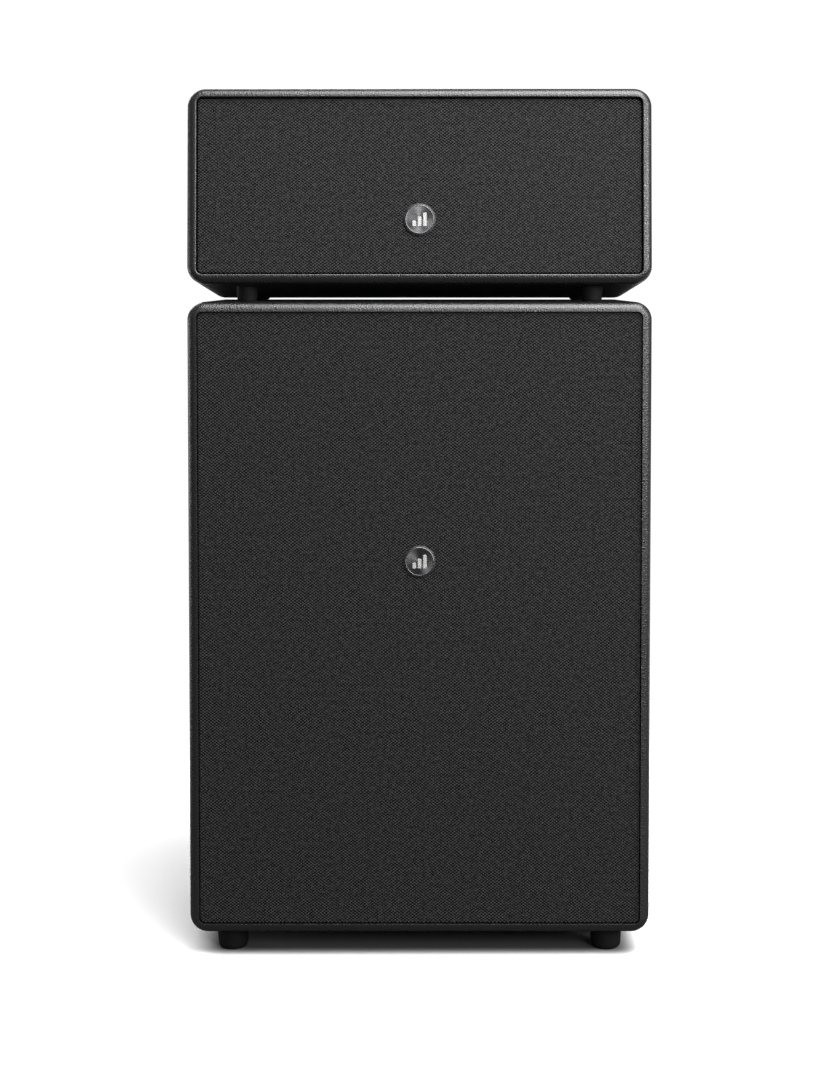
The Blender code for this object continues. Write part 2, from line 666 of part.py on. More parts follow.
def bass_cabinet(frame):
    """The bass cabinet: one large driver, a port, a brace and a plate amplifier."""
    cabinet("sub_cabinet", frame, SUB_HEIGHT, SUB_WALL, SUB_FRONT_RECESS, SUB_BACK_RECESS)
    middle = SUB_HEIGHT / 2
    inner = (WIDTH - 2 * SUB_WALL - 2 * GAP, SUB_HEIGHT - 2 * SUB_WALL - 2 * GAP)

    peg_x, peg_z = 0.1840, 0.2600
    pegs = [(x, middle + z) for x in (-peg_x, peg_x) for z in (-peg_z, 0, peg_z)]
    holes = [round_hole("sub_driver_hole", frame, SUB_DRIVER_HOLE, 0, SUB_DRIVER_Z, SUB_BAFFLE_Y, SUB_BAFFLE, 24)]
    holes += [round_hole(f"sub_peg_hole_{n}", frame, SUB_PEG + PEG_CLEARANCE, x, z, SUB_BAFFLE_Y, SUB_BAFFLE, 8)
              for n, (x, z) in enumerate(pegs)]
    panel("sub_baffle", frame, (inner[0], SUB_BAFFLE, inner[1]), SUB_BAFFLE_Y, middle, holes)

    bar_height = 0.016
    bars = [((OPENING_X - 2 * SUB_GRILLE_RING, bar_height), (0, SUB_BADGE_Z))]
    grille(
        "sub_grille", frame, SUB_HEIGHT, SUB_CLOTH_FRONT, SUB_CLOTH_GAP, SUB_GRILLE_FRAME, SUB_GRILLE_RING,
        bars, pegs, SUB_PEG, (0.014, SUB_BADGE_Z), SUB_BAFFLE_Y + PEG_DEPTH,
    )
    badge("sub_badge", frame, SUB_CLOTH_FRONT, SUB_BADGE_Z)
    bass_driver(frame)

    brace = block("sub_brace", frame, (inner[0], 0.110, 0.015), (0, 0.105, 0.345), "board")
    brace_hole = block("sub_brace_hole", frame, (0.280, 0.060, 0.05), (0, 0.105, 0.345), corner=0.02, corner_axis=2)
    combine(brace, brace_hole)
    sub_back(frame, middle)


def sub_back(frame, middle):
    """The bass cabinet's back panel, its port and the plate amplifier with everything on it."""
    opening = (OPENING_X - 2 * GAP, SUB_HEIGHT - 2 * LIP_WIDTH - 2 * GAP)
    front = DEPTH - SUB_BACK_RECESS + GAP
    port_radius, port_wall = 0.034, 0.003
    holes = [
        round_hole("sub_port_hole", frame, port_radius + port_wall + GAP, 0, SUB_PORT_Z, front, SUB_BACK_PANEL),
        block("amplifier_opening", frame, (AMP_OPENING[0], 0.04, AMP_OPENING[1]), (0, SUB_BACK_FACE, AMP_PLATE_Z)),
    ]
    panel("sub_rear_panel", frame, (opening[0], SUB_BACK_PANEL, opening[1]), front, middle, holes)
    port("sub_port_tube", frame, 0, SUB_PORT_Z, port_radius, port_wall, 0.115, SUB_BACK_FACE, 0.011)

    plate = block(
        "sub_amplifier_plate", frame, AMP_PLATE, (0, AMP_FACE - AMP_PLATE[1] / 2, AMP_PLATE_Z), "black_aluminium",
        corner=0.005, steps=2,
    )
    plate_holes = [
        round_hole(sided("knob_hole", x), frame, KNOB_HOLE, x, KNOB_Z, AMP_FACE - AMP_PLATE[1], AMP_PLATE[1], 12)
        for x in (-KNOB_X, KNOB_X)
    ]
    plate_holes.append(block("switch_hole", frame, (SWITCH_HOLE[0], 0.02, SWITCH_HOLE[1]),
                             (SWITCH_X, AMP_FACE, SWITCH_Z)))
    plate_holes.append(block("slider_slot", frame, (SLIDER_SLOT[0], 0.02, SLIDER_SLOT[1]), (0, AMP_FACE, SLIDER_Z)))
    plate_holes.append(block("inlet_hole", frame, (0.0286, 0.02, 0.0216), (INLET_X, AMP_FACE, INLET_Z)))
    for tool in plate_holes:
        combine(plate, tool)

    knob("sub_level_knob", frame, -KNOB_X)
    knob("sub_crossover_knob", frame, KNOB_X)
    power_switch(frame)
    slider = block("sub_phase_switch", frame, (0.0040, 0.0090, 0.0042), (SLIDER_X, AMP_FACE - 0.0020, SLIDER_Z),
                   "black_plastic")
    slider_foot = block("slider_foot", frame, (0.0040, 0.0020, 0.0060), (SLIDER_X, AMP_FACE - 0.0055, SLIDER_Z))
    combine(slider, slider_foot, "UNION")
    mains_inlet(frame)
    heat_sink(frame)

    circuit_board("sub_circuit_board", frame, (0.130, 0.200), (0, 0.166, AMP_PLATE_Z), AMP_FACE - AMP_PLATE[1] - GAP)
    ring = [(0.014, 0.036), (0.046, 0.036), (0.050, 0.030), (0.050, 0.006), (0.046, 0), (0.014, 0)]
    turned("sub_transformer", frame, ring, (-0.120, 0.100, SUB_WALL + GAP), "up", "copper_winding", steps=16,
           closed=True)


def knob(name, frame, x):
    """A turned knob on its shaft, with a pointer ridge that points up at rest."""
    profile = [
        (0, 0.0100), (0.0092, 0.0100), (0.0100, 0.0092), (0.0108, 0.0008), (0.0030, 0.0008),
        (0.0030, -0.0070), (0, -0.0070),
    ]
    body = turned(name, frame, profile, (x, AMP_FACE, KNOB_Z), "back", "black_plastic", steps=16)
    ridge = block(f"{name}_pointer", frame, (0.0012, 0.0020, 0.0070), (x, AMP_FACE + 0.0096, KNOB_Z + 0.0055))
    combine(body, ridge, "UNION")


def power_switch(frame):
    """A rocker with two sloping faces, tipped to its on side at rest."""
    outline = [(0.0070, 0.0095), (0.0045, 0), (0.0070, -0.0095), (-0.0015, -0.0085), (-0.0040, 0), (-0.0015, 0.0085)]
    bm = bmesh.new()
    half_width = SWITCH_HOLE[0] / 2 - 0.0004
    sole = bm.faces.new([bm.verts.new((-half_width, y, z)) for y, z in outline])
    grown = bmesh.ops.extrude_face_region(bm, geom=[sole])
    moved = [v for v in grown["geom"] if isinstance(v, bmesh.types.BMVert)]
    bmesh.ops.translate(bm, vec=(2 * half_width, 0, 0), verts=moved)
    bmesh.ops.recalc_face_normals(bm, faces=bm.faces)
    mesh = bpy.data.meshes.new("sub_power_switch")
    bm.to_mesh(mesh)
    bm.free()
    rocker = place("sub_power_switch", mesh, frame, (SWITCH_X, AMP_FACE - SWITCH_PIVOT, SWITCH_Z), "black_plastic")
    rocker.rotation_euler.x = SWITCH_ANGLE


def mains_inlet(frame):
    """The three-pin mains inlet, flanged over the plate."""
    flange = block("sub_mains_inlet", frame, (0.0480, 0.0020, 0.0260), (INLET_X, AMP_FACE + GAP + 0.001, INLET_Z),
                   "black_plastic")
    body = block("inlet_body", frame, (0.0280, 0.0210, 0.0210), (INLET_X, AMP_FACE - 0.0090, INLET_Z))
    combine(flange, body, "UNION")
    pocket = block("inlet_pocket", frame, (0.0245, 0.0340, 0.0165), (INLET_X, AMP_FACE, INLET_Z), corner=0.003,
                   steps=1)
    combine(flange, pocket)
    for number, (x, z) in enumerate(((-0.007, -0.002), (0, 0.002), (0.007, -0.002))):
        pin = block(f"inlet_pin_{number}", frame, (0.0020, 0.0140, 0.0040),
                    (INLET_X + x, AMP_FACE - 0.0120, INLET_Z + z))
        combine(flange, pin, "UNION")


def heat_sink(frame):
    """Upright cooling fins on a common base, across the top of the amplifier plate."""
    base = (0.130, 0.002, 0.068)
    sink = block("sub_heat_sink", frame, base, (0, AMP_FACE + GAP + base[1] / 2, HEAT_SINK_Z), "black_aluminium")
    count, pitch, tall = 9, 0.0155, 0.0095
    for number in range(count):
        x = (number - (count - 1) / 2) * pitch
        fin = block(f"fin_{number}", frame, (0.002, tall, base[2] - 0.002),
                    (x, AMP_FACE + GAP + 0.001 + tall / 2, HEAT_SINK_Z))
        combine(sink, fin, "UNION")


def main():
    sub_frame = cabinet_frame("sub_frame", (0, FRONT_Y, SUB_FOOT_HEIGHT), 0.0)
    head_frame = cabinet_frame("head_frame", (0, FRONT_Y, SUB_TOP + HEAD_FRONT_GAP), -HEAD_TILT)
    bass_cabinet(sub_frame)
    sub_feet()
    head(head_frame)
    head_feet(head_frame)


main()
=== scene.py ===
"""Dresses the packed mini hifi system: a speaker head that leans back on a tall bass cabinet.

It is laid out as a Blender add-on and run as a script. Lengths are in metres. Each cabinet has axes of its
own: x to the right, y from its front face backwards and z up from its underside.
"""

import json
import math

import bmesh
import bpy
import numpy as np
from bpy.props import FloatProperty, FloatVectorProperty, IntProperty, PointerProperty
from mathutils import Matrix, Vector


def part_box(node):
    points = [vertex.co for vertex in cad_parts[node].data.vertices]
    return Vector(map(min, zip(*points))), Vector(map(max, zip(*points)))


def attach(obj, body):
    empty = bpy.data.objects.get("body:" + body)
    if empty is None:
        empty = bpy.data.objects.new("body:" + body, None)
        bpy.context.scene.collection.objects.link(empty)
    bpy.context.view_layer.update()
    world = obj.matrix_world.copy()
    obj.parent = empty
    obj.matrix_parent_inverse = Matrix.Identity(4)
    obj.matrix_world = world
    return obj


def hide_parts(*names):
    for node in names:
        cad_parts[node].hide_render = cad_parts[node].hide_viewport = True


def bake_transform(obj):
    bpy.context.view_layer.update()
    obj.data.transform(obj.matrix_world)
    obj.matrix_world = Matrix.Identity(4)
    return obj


bl_info = {
    "name": "Mini hifi system",
    "version": (1, 0, 0),
    "blender": (4, 5, 0),
    "location": "3D View > Sidebar > Hifi",
    "description": "Builds the surfaces and finishes of a stacked mini hifi system",
    "category": "Object",
}

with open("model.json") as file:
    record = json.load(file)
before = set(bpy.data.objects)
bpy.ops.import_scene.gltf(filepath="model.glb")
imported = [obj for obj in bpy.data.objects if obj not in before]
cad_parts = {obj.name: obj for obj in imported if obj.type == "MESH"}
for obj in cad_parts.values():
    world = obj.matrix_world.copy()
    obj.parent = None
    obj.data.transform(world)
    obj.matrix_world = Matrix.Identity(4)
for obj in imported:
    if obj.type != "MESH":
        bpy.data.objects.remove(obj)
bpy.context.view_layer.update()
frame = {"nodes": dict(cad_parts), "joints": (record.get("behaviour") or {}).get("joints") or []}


def linear(code):
    """Linear colour of an sRGB hex code: c / 12.92 up to 0.04045, and ((c + 0.055) / 1.055) ** 2.4 above."""
    c = np.array([int(code[i : i + 2], 16) for i in (1, 3, 5)]) / 255
    return tuple(float(v) for v in np.where(c <= 0.04045, c / 12.92, ((c + 0.055) / 1.055) ** 2.4))


def length(name, description, default):
    """A setting in metres."""
    return FloatProperty(name=name, description=description, default=default, unit="LENGTH", precision=4)


def colour(name, description, code):
    """A colour setting whose default is an sRGB hex code."""
    return FloatVectorProperty(
        name=name, description=description, subtype="COLOR", size=3, min=0.0, max=1.0, default=linear(code)
    )


# ---------------------------------------------------------------- places, read from the frame


def node_points(node):
    """A CAD node's points in world coordinates, n x 3."""
    mesh = frame["nodes"][node].data
    flat = np.empty(len(mesh.vertices) * 3)
    mesh.vertices.foreach_get("co", flat)
    return flat.reshape(-1, 3)


def joint_of(name):
    return next(j for j in frame["joints"] if j["name"] == name)


def cabinet_axes(node, lean):
    """A cabinet's own axes as rows, leaning back by lean, with their origin under the middle of its front
    face."""
    c, s = math.cos(lean), math.sin(lean)
    axes = np.array([[1, 0, 0], [0, c, -s], [0, s, c]])
    own = node_points(node) @ axes.T
    low, high = own.min(0), own.max(0)
    corner = np.array([(low[0] + high[0]) / 2, low[1], low[2]])
    return {"axes": axes, "origin": corner @ axes, "size": high - low}


def box_in(cabinet, node):
    """A node's lowest and highest corner in a cabinet's own axes."""
    own = (node_points(node) - cabinet["origin"]) @ cabinet["axes"].T
    return own.min(0), own.max(0)


def to_world(cabinet, points):
    """Points in a cabinet's own axes turned to world coordinates."""
    return np.asarray(points) @ cabinet["axes"] + cabinet["origin"]


PULL = joint_of("head_grille_pull")["axis"]
SUB = cabinet_axes("sub_cabinet", 0.0)
HEAD = cabinet_axes("head_cabinet", math.atan2(PULL[2], -PULL[1]))
BUTTONS = ("power", "source", "volume_down", "volume_up", "preset_1", "preset_2", "preset_3", "preset_4")


# ---------------------------------------------------------------- shapes, as arrays
# A shape is (points, quads, caps, uv): n x 3 points, m x 4 corners, a list of end faces and m x 4 x 2 map
# places. It is drawn in a plane (a, b) with a depth d into the cabinet, and facing() turns it to the side it
# belongs on.


def grid(points, wrap_rows=False, wrap_columns=False):
    """Quads between neighbours of a rows x columns grid of points. The map is (column, row) as shares of the
    whole."""
    rows, columns = points.shape[:2]
    r = np.arange(rows if wrap_rows else rows - 1)[:, None]
    c = np.arange(columns if wrap_columns else columns - 1)[None, :]
    steps = ((0, 0), (0, 1), (1, 1), (1, 0))
    quads = np.stack([((r + i) % rows) * columns + (c + j) % columns for i, j in steps], -1)
    place = [np.stack(np.broadcast_arrays((c + j) / columns, (r + i) / rows), -1) for i, j in steps]
    return points.reshape(-1, 3), quads.reshape(-1, 4), [], np.stack(place, 2).reshape(-1, 4, 2)


def rounded(corners, radii, steps=5, closed=False):
    """A polyline with its corners rounded. Each arc is the rational curve ((1-t)^2 p + 2t(1-t) w q + t^2 r) /
    sum of weights, where q is the corner, p and r lie one cut along its sides, and w is the cosine of half
    the turn."""
    q = np.asarray(corners, float)
    radii = np.broadcast_to(np.asarray(radii, float), len(q))
    before, after = np.roll(q, 1, 0) - q, np.roll(q, -1, 0) - q
    long_b, long_a = (np.maximum(np.linalg.norm(v, axis=1), 1e-12) for v in (before, after))
    cosine = np.clip((before * after).sum(1) / (long_b * long_a), -1, 1)
    half_turn = (math.pi - np.arccos(cosine)) / 2
    cut = np.minimum(radii * np.tan(half_turn), 0.49 * np.minimum(long_b, long_a))
    p, r = q + before * (cut / long_b)[:, None], q + after * (cut / long_a)[:, None]
    t = np.linspace(0, 1, steps + 1)[None, :, None]
    w = np.cos(half_turn)[:, None, None]
    weights = (1 - t) ** 2 + 2 * t * (1 - t) * w + t**2
    arcs = ((1 - t) ** 2 * p[:, None] + 2 * t * (1 - t) * w * q[:, None] + t**2 * r[:, None]) / weights
    if closed:
        return arcs.reshape(-1, 2)
    return np.concatenate([q[:1], arcs[1:-1].reshape(-1, 2), q[-1:]])


def rings(half_width, half_height, radius, steps):
    """Rounded rectangles, one a row: each corner's centre plus radius (cos t, sin t), t over its quarter
    turn."""
    sizes = (half_width, half_height, radius)
    half_width, half_height, radius = (np.atleast_1d(v)[:, None, None] for v in sizes)
    t = (np.arange(4)[:, None] * 90 + np.linspace(0, 90, steps + 1)[None, :]) * math.pi / 180
    side = np.array([[1, 1], [-1, 1], [-1, -1], [1, -1]])[:, None, :]
    a = (half_width - radius) * side[..., 0] + radius * np.cos(t)
    b = (half_height - radius) * side[..., 1] + radius * np.sin(t)
    return np.stack([a, b], -1).reshape(len(a), -1, 2)


def loft(sections, steps=8, closed=False):
    """A rounded rectangle carried through sections of (half width, half height, corner radius, depth), capped
    at both ends unless it closes on itself."""
    s = np.asarray(sections, float)
    flat = rings(s[:, 0], s[:, 1], s[:, 2], steps)
    depth = np.broadcast_to(s[:, 3][:, None, None], (*flat.shape[:2], 1))
    points, quads, caps, uv = grid(np.concatenate([flat, depth], -1), wrap_rows=closed, wrap_columns=True)
    if not closed:
        count = flat.shape[1]
        caps = [list(range(count)), list(range(len(points) - count, len(points)))]
    return points, quads, caps, uv


def plate(width, height, corner, low, high, edge=0.0003, steps=6):
    """A flat plate between two depths, with rounded corners. Its outer rim is a quarter circle: it is drawn
    in by edge * (1 - sin t) at a depth of low + edge * (1 - cos t)."""
    t = np.linspace(math.pi / 2, 0, 4)
    inset = edge * (1 - np.sin(t))
    rim = [width / 2 - inset, height / 2 - inset, np.maximum(corner - inset, 1e-5),
           low + edge * (1 - np.cos(t))]
    return loft(np.vstack([[width / 2, height / 2, corner, high], np.stack(rim, -1)]), steps)


def turned(profile, steps=64, closed=False, ripple=None):
    """A profile of (radius, height) turned round: a = r cos t, b = r sin t, d = -height. ripple(t, row)
    scales r."""
    p = np.asarray(profile, float)
    t = np.linspace(0, 2 * math.pi, steps, endpoint=False)[None, :]
    radius = p[:, 0][:, None] * (1.0 if ripple is None else ripple(t, np.arange(len(p))[:, None]))
    height = np.broadcast_to(p[:, 1][:, None], radius.shape if ripple is not None else (len(p), steps))
    points = np.stack([radius * np.cos(t), radius * np.sin(t), -height], -1)
    return grid(points, wrap_rows=closed, wrap_columns=True)


def extruded(outline, low, high):
    """A closed outline of (a, b) points drawn out from depth low to depth high."""
    flat = np.asarray(outline, float)
    rows = np.stack([np.column_stack([flat, np.full(len(flat), d)]) for d in (low, high)])
    points, quads, _, uv = grid(rows, wrap_columns=True)
    count = len(flat)
    return points, quads, [list(range(count)), list(range(count, 2 * count))], uv


def arc_band(radius, width, start, end, low, high, steps=20):
    """A flat ring or part of one: the rectangle radius +- width / 2 by low to high, carried from start to
    end."""
    t = np.radians(np.linspace(start, end, steps + 1))[:, None]
    r = radius + width / 2 * np.array([-1, 1, 1, -1])[None, :]
    d = np.broadcast_to(np.array([high, high, low, low])[None, :], (len(t), 4))
    whole = abs(end - start) >= 360
    points = np.stack([r * np.cos(t), r * np.sin(t), d], -1)
    points, quads, _, uv = grid(points[:-1] if whole else points, wrap_rows=whole, wrap_columns=True)
    caps = [] if whole else [[0, 1, 2, 3], list(range(len(points) - 4, len(points)))]
    return points, quads, caps, uv


def moved(shape, a=0.0, b=0.0, d=0.0, turn=0.0):
    """A shape turned in its plane, then moved."""
    points, quads, caps, uv = shape
    c, s = math.cos(turn), math.sin(turn)
    x, y, depth = points.T
    flat = np.stack([x * c - y * s, x * s + y * c, depth], -1)
    return flat + (a, b, d), quads, caps, uv


def facing(side, shape, centre):
    """Turns a shape from (a, b, d) to a cabinet's x, y, z: on its front, back, top or right-hand side, or
    standing upright over an outline drawn from above."""
    points, quads, caps, uv = shape
    a, b, d = points.T
    turned_to = {
        "front": (a, d, b), "back": (-a, -d, b), "up": (a, b, -d), "side": (-d, a, b), "upright": (a, b, d),
    }
    return np.stack(turned_to[side], -1) + np.asarray(centre, float), quads, caps, uv


def weave_map(points):
    """The cloth's map in metres: (x + y, z + y), so the threads run straight on the face and on round its
    edges."""
    return np.stack([points[:, 0] + points[:, 1], points[:, 2] + points[:, 1]], -1)


# ---------------------------------------------------------------- pieces


def mesh_of(name, shapes, cabinet, map_from=None):
    """One mesh from several shapes, with doubled points merged and all faces outwards."""
    points, faces, uv, start = [], [], [], 0
    for p, quads, caps, place in shapes:
        points.append(p)
        faces += (quads + start).tolist() + [[i + start for i in cap] for cap in caps]
        uv.append(place.reshape(-1, 2))
        uv.append(np.zeros((sum(map(len, caps)), 2)))
        start += len(p)
    own = np.concatenate(points)
    mesh = bpy.data.meshes.new(name)
    mesh.from_pydata(to_world(cabinet, own).tolist(), [], faces)
    layer = mesh.uv_layers.new(name="UVMap")
    corners = np.empty(len(mesh.loops), int)
    mesh.loops.foreach_get("vertex_index", corners)
    places = np.concatenate(uv) if map_from is None else map_from(own)[corners]
    layer.data.foreach_set("uv", places.ravel())
    return tidy(mesh)


def tidy(mesh, crease=32.0, weld=1.5e-6):
    """Merges points closer than weld, faces all sides outwards and shades smooth across edges under crease
    degrees."""
    form = bmesh.new()
    form.from_mesh(mesh)
    bmesh.ops.remove_doubles(form, verts=form.verts, dist=weld)
    bmesh.ops.recalc_face_normals(form, faces=form.faces)
    form.to_mesh(mesh)
    form.free()
    mesh.polygons.foreach_set("use_smooth", np.ones(len(mesh.polygons), bool))
    mesh.set_sharp_from_angle(angle=math.radians(crease))
    return mesh


def add_piece(name, mesh, body, finish, replaces=(), even=True):
    """Links a mesh as a piece that rides on a CAD body. Its shading follows its larger faces if even is
    set."""
    obj = bpy.data.objects.new(name, mesh)
    bpy.context.scene.collection.objects.link(obj)
    mesh.materials.clear()
    mesh.materials.append(finish)
    if even:
        normals = obj.modifiers.new("even shading", "WEIGHTED_NORMAL")
        normals.keep_sharp = True
    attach(obj, body)
    if replaces:
        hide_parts(*replaces)
    return obj


def carve(mesh, cabinet, shapes):
    """Cuts shapes out of a mesh with one exact Boolean and returns the mesh that is left."""
    body = bpy.data.objects.new("carved", mesh)
    tool = bpy.data.objects.new("carver", mesh_of("carver", shapes, cabinet))
    for obj in (body, tool):
        bpy.context.scene.collection.objects.link(obj)
    cut = body.modifiers.new("cut", "BOOLEAN")
    cut.object = tool
    cut.operation = "DIFFERENCE"
    cut.solver = "EXACT"
    view = bpy.context.evaluated_depsgraph_get()
    result = bpy.data.meshes.new_from_object(body.evaluated_get(view))
    for obj in (body, tool):
        bpy.data.objects.remove(obj)
    if len(result.polygons) == 0:
        raise RuntimeError("the Boolean left nothing")
    return tidy(result)


def finish_node(finish, *nodes):
    """Gives CAD nodes a finish in place of their plain one."""
    for node in nodes:
        data = frame["nodes"][node].data
        data.materials.clear()
        data.materials.append(finish)


# ---------------------------------------------------------------- finishes


def add(tree, kind, inputs=None, **settings):
    """Adds a shader node with its settings, and its inputs as values or as links from other nodes'
    outputs."""
    node = tree.nodes.new(kind)
    for key, value in settings.items():
        setattr(node, key, value)
    for key, value in (inputs or {}).items():
        if isinstance(value, bpy.types.NodeSocket):
            tree.links.new(value, node.inputs[key])
        else:
            node.inputs[key].default_value = value
    return node


def base_finish(name, rgb, roughness, metallic=0.0, **sockets):
    """A Principled surface whose even values are set on its own sockets. Returns (material, tree, shader)."""
    material = bpy.data.materials.new(name)
    material.use_nodes = True
    tree = material.node_tree
    shader = next(n for n in tree.nodes if n.type == "BSDF_PRINCIPLED")
    shader.inputs["Base Color"].default_value = (*rgb, 1.0)
    shader.inputs["Roughness"].default_value = roughness
    shader.inputs["Metallic"].default_value = metallic
    for key, value in sockets.items():
        shader.inputs[key.replace("_", " ").title().replace("Ior", "IOR")].default_value = value
    return material, tree, shader


def shades(rgb, darker, lighter):
    """Two colours of one hue: the colour times darker, and times lighter."""
    return [(*(min(1.0, c * share) for c in rgb), 1.0) for share in (darker, lighter)]


def vary_colour(tree, shader, rgb, factor, darker, lighter):
    """Base colour that runs from darker to lighter as factor runs from 0 to 1."""
    low, high = shades(rgb, darker, lighter)
    mix = add(tree, "ShaderNodeMix", {0: factor, 6: low, 7: high}, data_type="RGBA")
    tree.links.new(mix.outputs[2], shader.inputs["Base Color"])


def raise_surface(tree, shader, height, depth):
    """Bump whose full height is depth metres."""
    bump = add(tree, "ShaderNodeBump", {"Height": height, "Distance": depth, "Strength": 1.0})
    tree.links.new(bump.outputs[0], shader.inputs["Normal"])


def leatherette(rgb, pebble):
    """PVC leatherette, embossed with a pebble grain: satin tops between creases, with painted shade that
    darkens the creases and lighter tops. Where it is pulled tight round the front lip, the tops are flattened
    and glossier."""
    material, tree, shader = base_finish("pvc_leatherette", rgb, 0.26, specular_ior_level=0.7)
    place = add(tree, "ShaderNodeTexCoord").outputs["Object"]
    drift = add(tree, "ShaderNodeTexNoise", {"Vector": place, "Scale": 0.35 / pebble, "Detail": 1.0})
    bent = add(tree, "ShaderNodeVectorMath", {0: drift.outputs["Color"], "Scale": 0.55 * pebble},
               operation="SCALE")
    moved_place = add(tree, "ShaderNodeVectorMath", {0: place, 1: bent.outputs[0]}, operation="ADD")
    cells = add(
        tree, "ShaderNodeTexVoronoi",
        {"Vector": moved_place.outputs[0], "Scale": 1.0 / pebble, "Randomness": 0.9},
        feature="DISTANCE_TO_EDGE",
    )
    dome = add(
        tree, "ShaderNodeMapRange", {"Value": cells.outputs["Distance"], "From Min": 0.0, "From Max": 0.32},
        interpolation_type="SMOOTHSTEP",
    )
    fine = add(tree, "ShaderNodeTexNoise", {"Vector": place, "Scale": 3.2 / pebble, "Detail": 2.0})
    height = add(tree, "ShaderNodeMath", {0: fine.outputs[0], 1: 0.25, 2: dome.outputs[0]},
                 operation="MULTIPLY_ADD")
    raise_surface(tree, shader, height.outputs[0], 0.00011)
    # painted shade: the base colour runs from 0.35 times the covering's colour in the creases to 1.25 times
    # it on the tops
    vary_colour(tree, shader, rgb, dome.outputs[0], 0.35, 1.25)
    flat = add(tree, "ShaderNodeMapRange", {"Value": dome.outputs[0], "To Min": 0.66, "To Max": 0.52})
    tight = add(tree, "ShaderNodeMapRange", {"Value": dome.outputs[0], "To Min": 0.42, "To Max": 0.24})
    pulled = add(tree, "ShaderNodeAttribute", attribute_name="pulled")
    worn = add(tree, "ShaderNodeMix", {0: pulled.outputs["Fac"], 2: flat.outputs[0], 3: tight.outputs[0]})
    tree.links.new(worn.outputs[0], shader.inputs["Roughness"])
    return material


def grille_cloth(dark, light, across, up):
    """Woven polyester over a black backing: a plain weave whose crowns catch light between dark holes. The
    real threads are finer; they are drawn at the spacing that shows."""
    rgb = tuple((d + l) / 2 for d, l in zip(dark, light))
    material, tree, shader = base_finish("woven_polyester", rgb, 0.85, specular_ior_level=0.12)
    place = add(tree, "ShaderNodeUVMap", uv_map="UVMap").outputs[0]
    parts = add(tree, "ShaderNodeSeparateXYZ", {0: place})
    waves = []
    for axis, pitch in ((0, across), (1, up)):
        phase = add(tree, "ShaderNodeMath", {0: parts.outputs[axis], 1: 2 * math.pi / pitch},
                    operation="MULTIPLY")
        waves.append(add(tree, "ShaderNodeMath", {0: phase.outputs[0]}, operation="SINE").outputs[0])
    checks = add(tree, "ShaderNodeMath", {0: waves[0], 1: waves[1]}, operation="MULTIPLY")
    slub = add(tree, "ShaderNodeTexNoise", {"Vector": place, "Scale": 260.0, "Detail": 3.0, "Roughness": 0.7})
    uneven = add(tree, "ShaderNodeMapRange", {"Value": slub.outputs[0], "From Min": 0.3, "From Max": 0.7,
                                              "To Min": -0.3, "To Max": 0.3})
    frayed = add(tree, "ShaderNodeMath", {0: checks.outputs[0], 1: uneven.outputs[0]}, operation="ADD")
    crown = add(tree, "ShaderNodeMapRange", {"Value": frayed.outputs[0], "From Min": -0.25, "From Max": 0.50},
                interpolation_type="SMOOTHSTEP")
    mix = add(tree, "ShaderNodeMix", {0: crown.outputs[0], 6: (*dark, 1.0), 7: (*light, 1.0)},
              data_type="RGBA")
    tree.links.new(mix.outputs[2], shader.inputs["Base Color"])
    raise_surface(tree, shader, crown.outputs[0], 0.00010)
    return material


def spun_metal(rgb):
    """Spun aluminium, lacquered: fine turning lines round the middle spread each highlight into two fans."""
    material, tree, shader = base_finish("spun_aluminium", rgb, 0.34, 1.0, anisotropic=0.85)
    tangent = add(tree, "ShaderNodeTangent", direction_type="UV_MAP", uv_map="UVMap")
    tree.links.new(tangent.outputs[0], shader.inputs["Tangent"])
    place = add(tree, "ShaderNodeUVMap", uv_map="UVMap").outputs[0]
    stretch = add(tree, "ShaderNodeVectorMath", {0: place, 1: (2.0, 60.0, 1.0)}, operation="MULTIPLY")
    lines = add(tree, "ShaderNodeTexNoise", {"Vector": stretch.outputs[0], "Scale": 4.0, "Detail": 4.0})
    vary_colour(tree, shader, rgb, lines.outputs[0], 0.86, 1.10)
    return material


def brushed(name, rgb, roughness, along):
    """Brushed, anodised aluminium: lines 0.25 mm apart and about 30 mm long that run along one axis."""
    material, tree, shader = base_finish(name, rgb, roughness, 1.0)
    place = add(tree, "ShaderNodeTexCoord").outputs["Object"]
    stretch = [1 / 0.00025] * 3
    stretch[along] = 33.0
    lines_at = add(tree, "ShaderNodeVectorMath", {0: place, 1: stretch}, operation="MULTIPLY")
    lines = add(tree, "ShaderNodeTexNoise", {"Vector": lines_at.outputs[0], "Scale": 1.0, "Detail": 3.0})
    vary_colour(tree, shader, rgb, lines.outputs[0], 0.75, 1.25)
    rough = add(tree, "ShaderNodeMapRange", {"Value": lines.outputs[0], "To Min": roughness - 0.08,
                                             "To Max": roughness + 0.1})
    tree.links.new(rough.outputs[0], shader.inputs["Roughness"])
    raise_surface(tree, shader, lines.outputs[0], 0.00001)
    return material


def grained(name, rgb, roughness, grain, depth, metallic=0.0, darker=0.85, lighter=1.12, **sockets):
    """A surface with an even, rounded grain of one size: moulded plastic, rubber, paint, pulp or cast
    metal."""
    material, tree, shader = base_finish(name, rgb, roughness, metallic, **sockets)
    place = add(tree, "ShaderNodeTexCoord").outputs["Object"]
    spots = add(tree, "ShaderNodeTexNoise",
                {"Vector": place, "Scale": 1.0 / grain, "Detail": 3.0, "Roughness": 0.6})
    raise_surface(tree, shader, spots.outputs[0], depth)
    vary_colour(tree, shader, rgb, spots.outputs[0], darker, lighter)
    broad = add(tree, "ShaderNodeTexNoise", {"Vector": place, "Scale": 0.03 / grain, "Detail": 2.0})
    rough = add(tree, "ShaderNodeMapRange", {"Value": broad.outputs[0], "To Min": roughness - 0.06,
                                             "To Max": roughness + 0.06})
    tree.links.new(rough.outputs[0], shader.inputs["Roughness"])
    return material


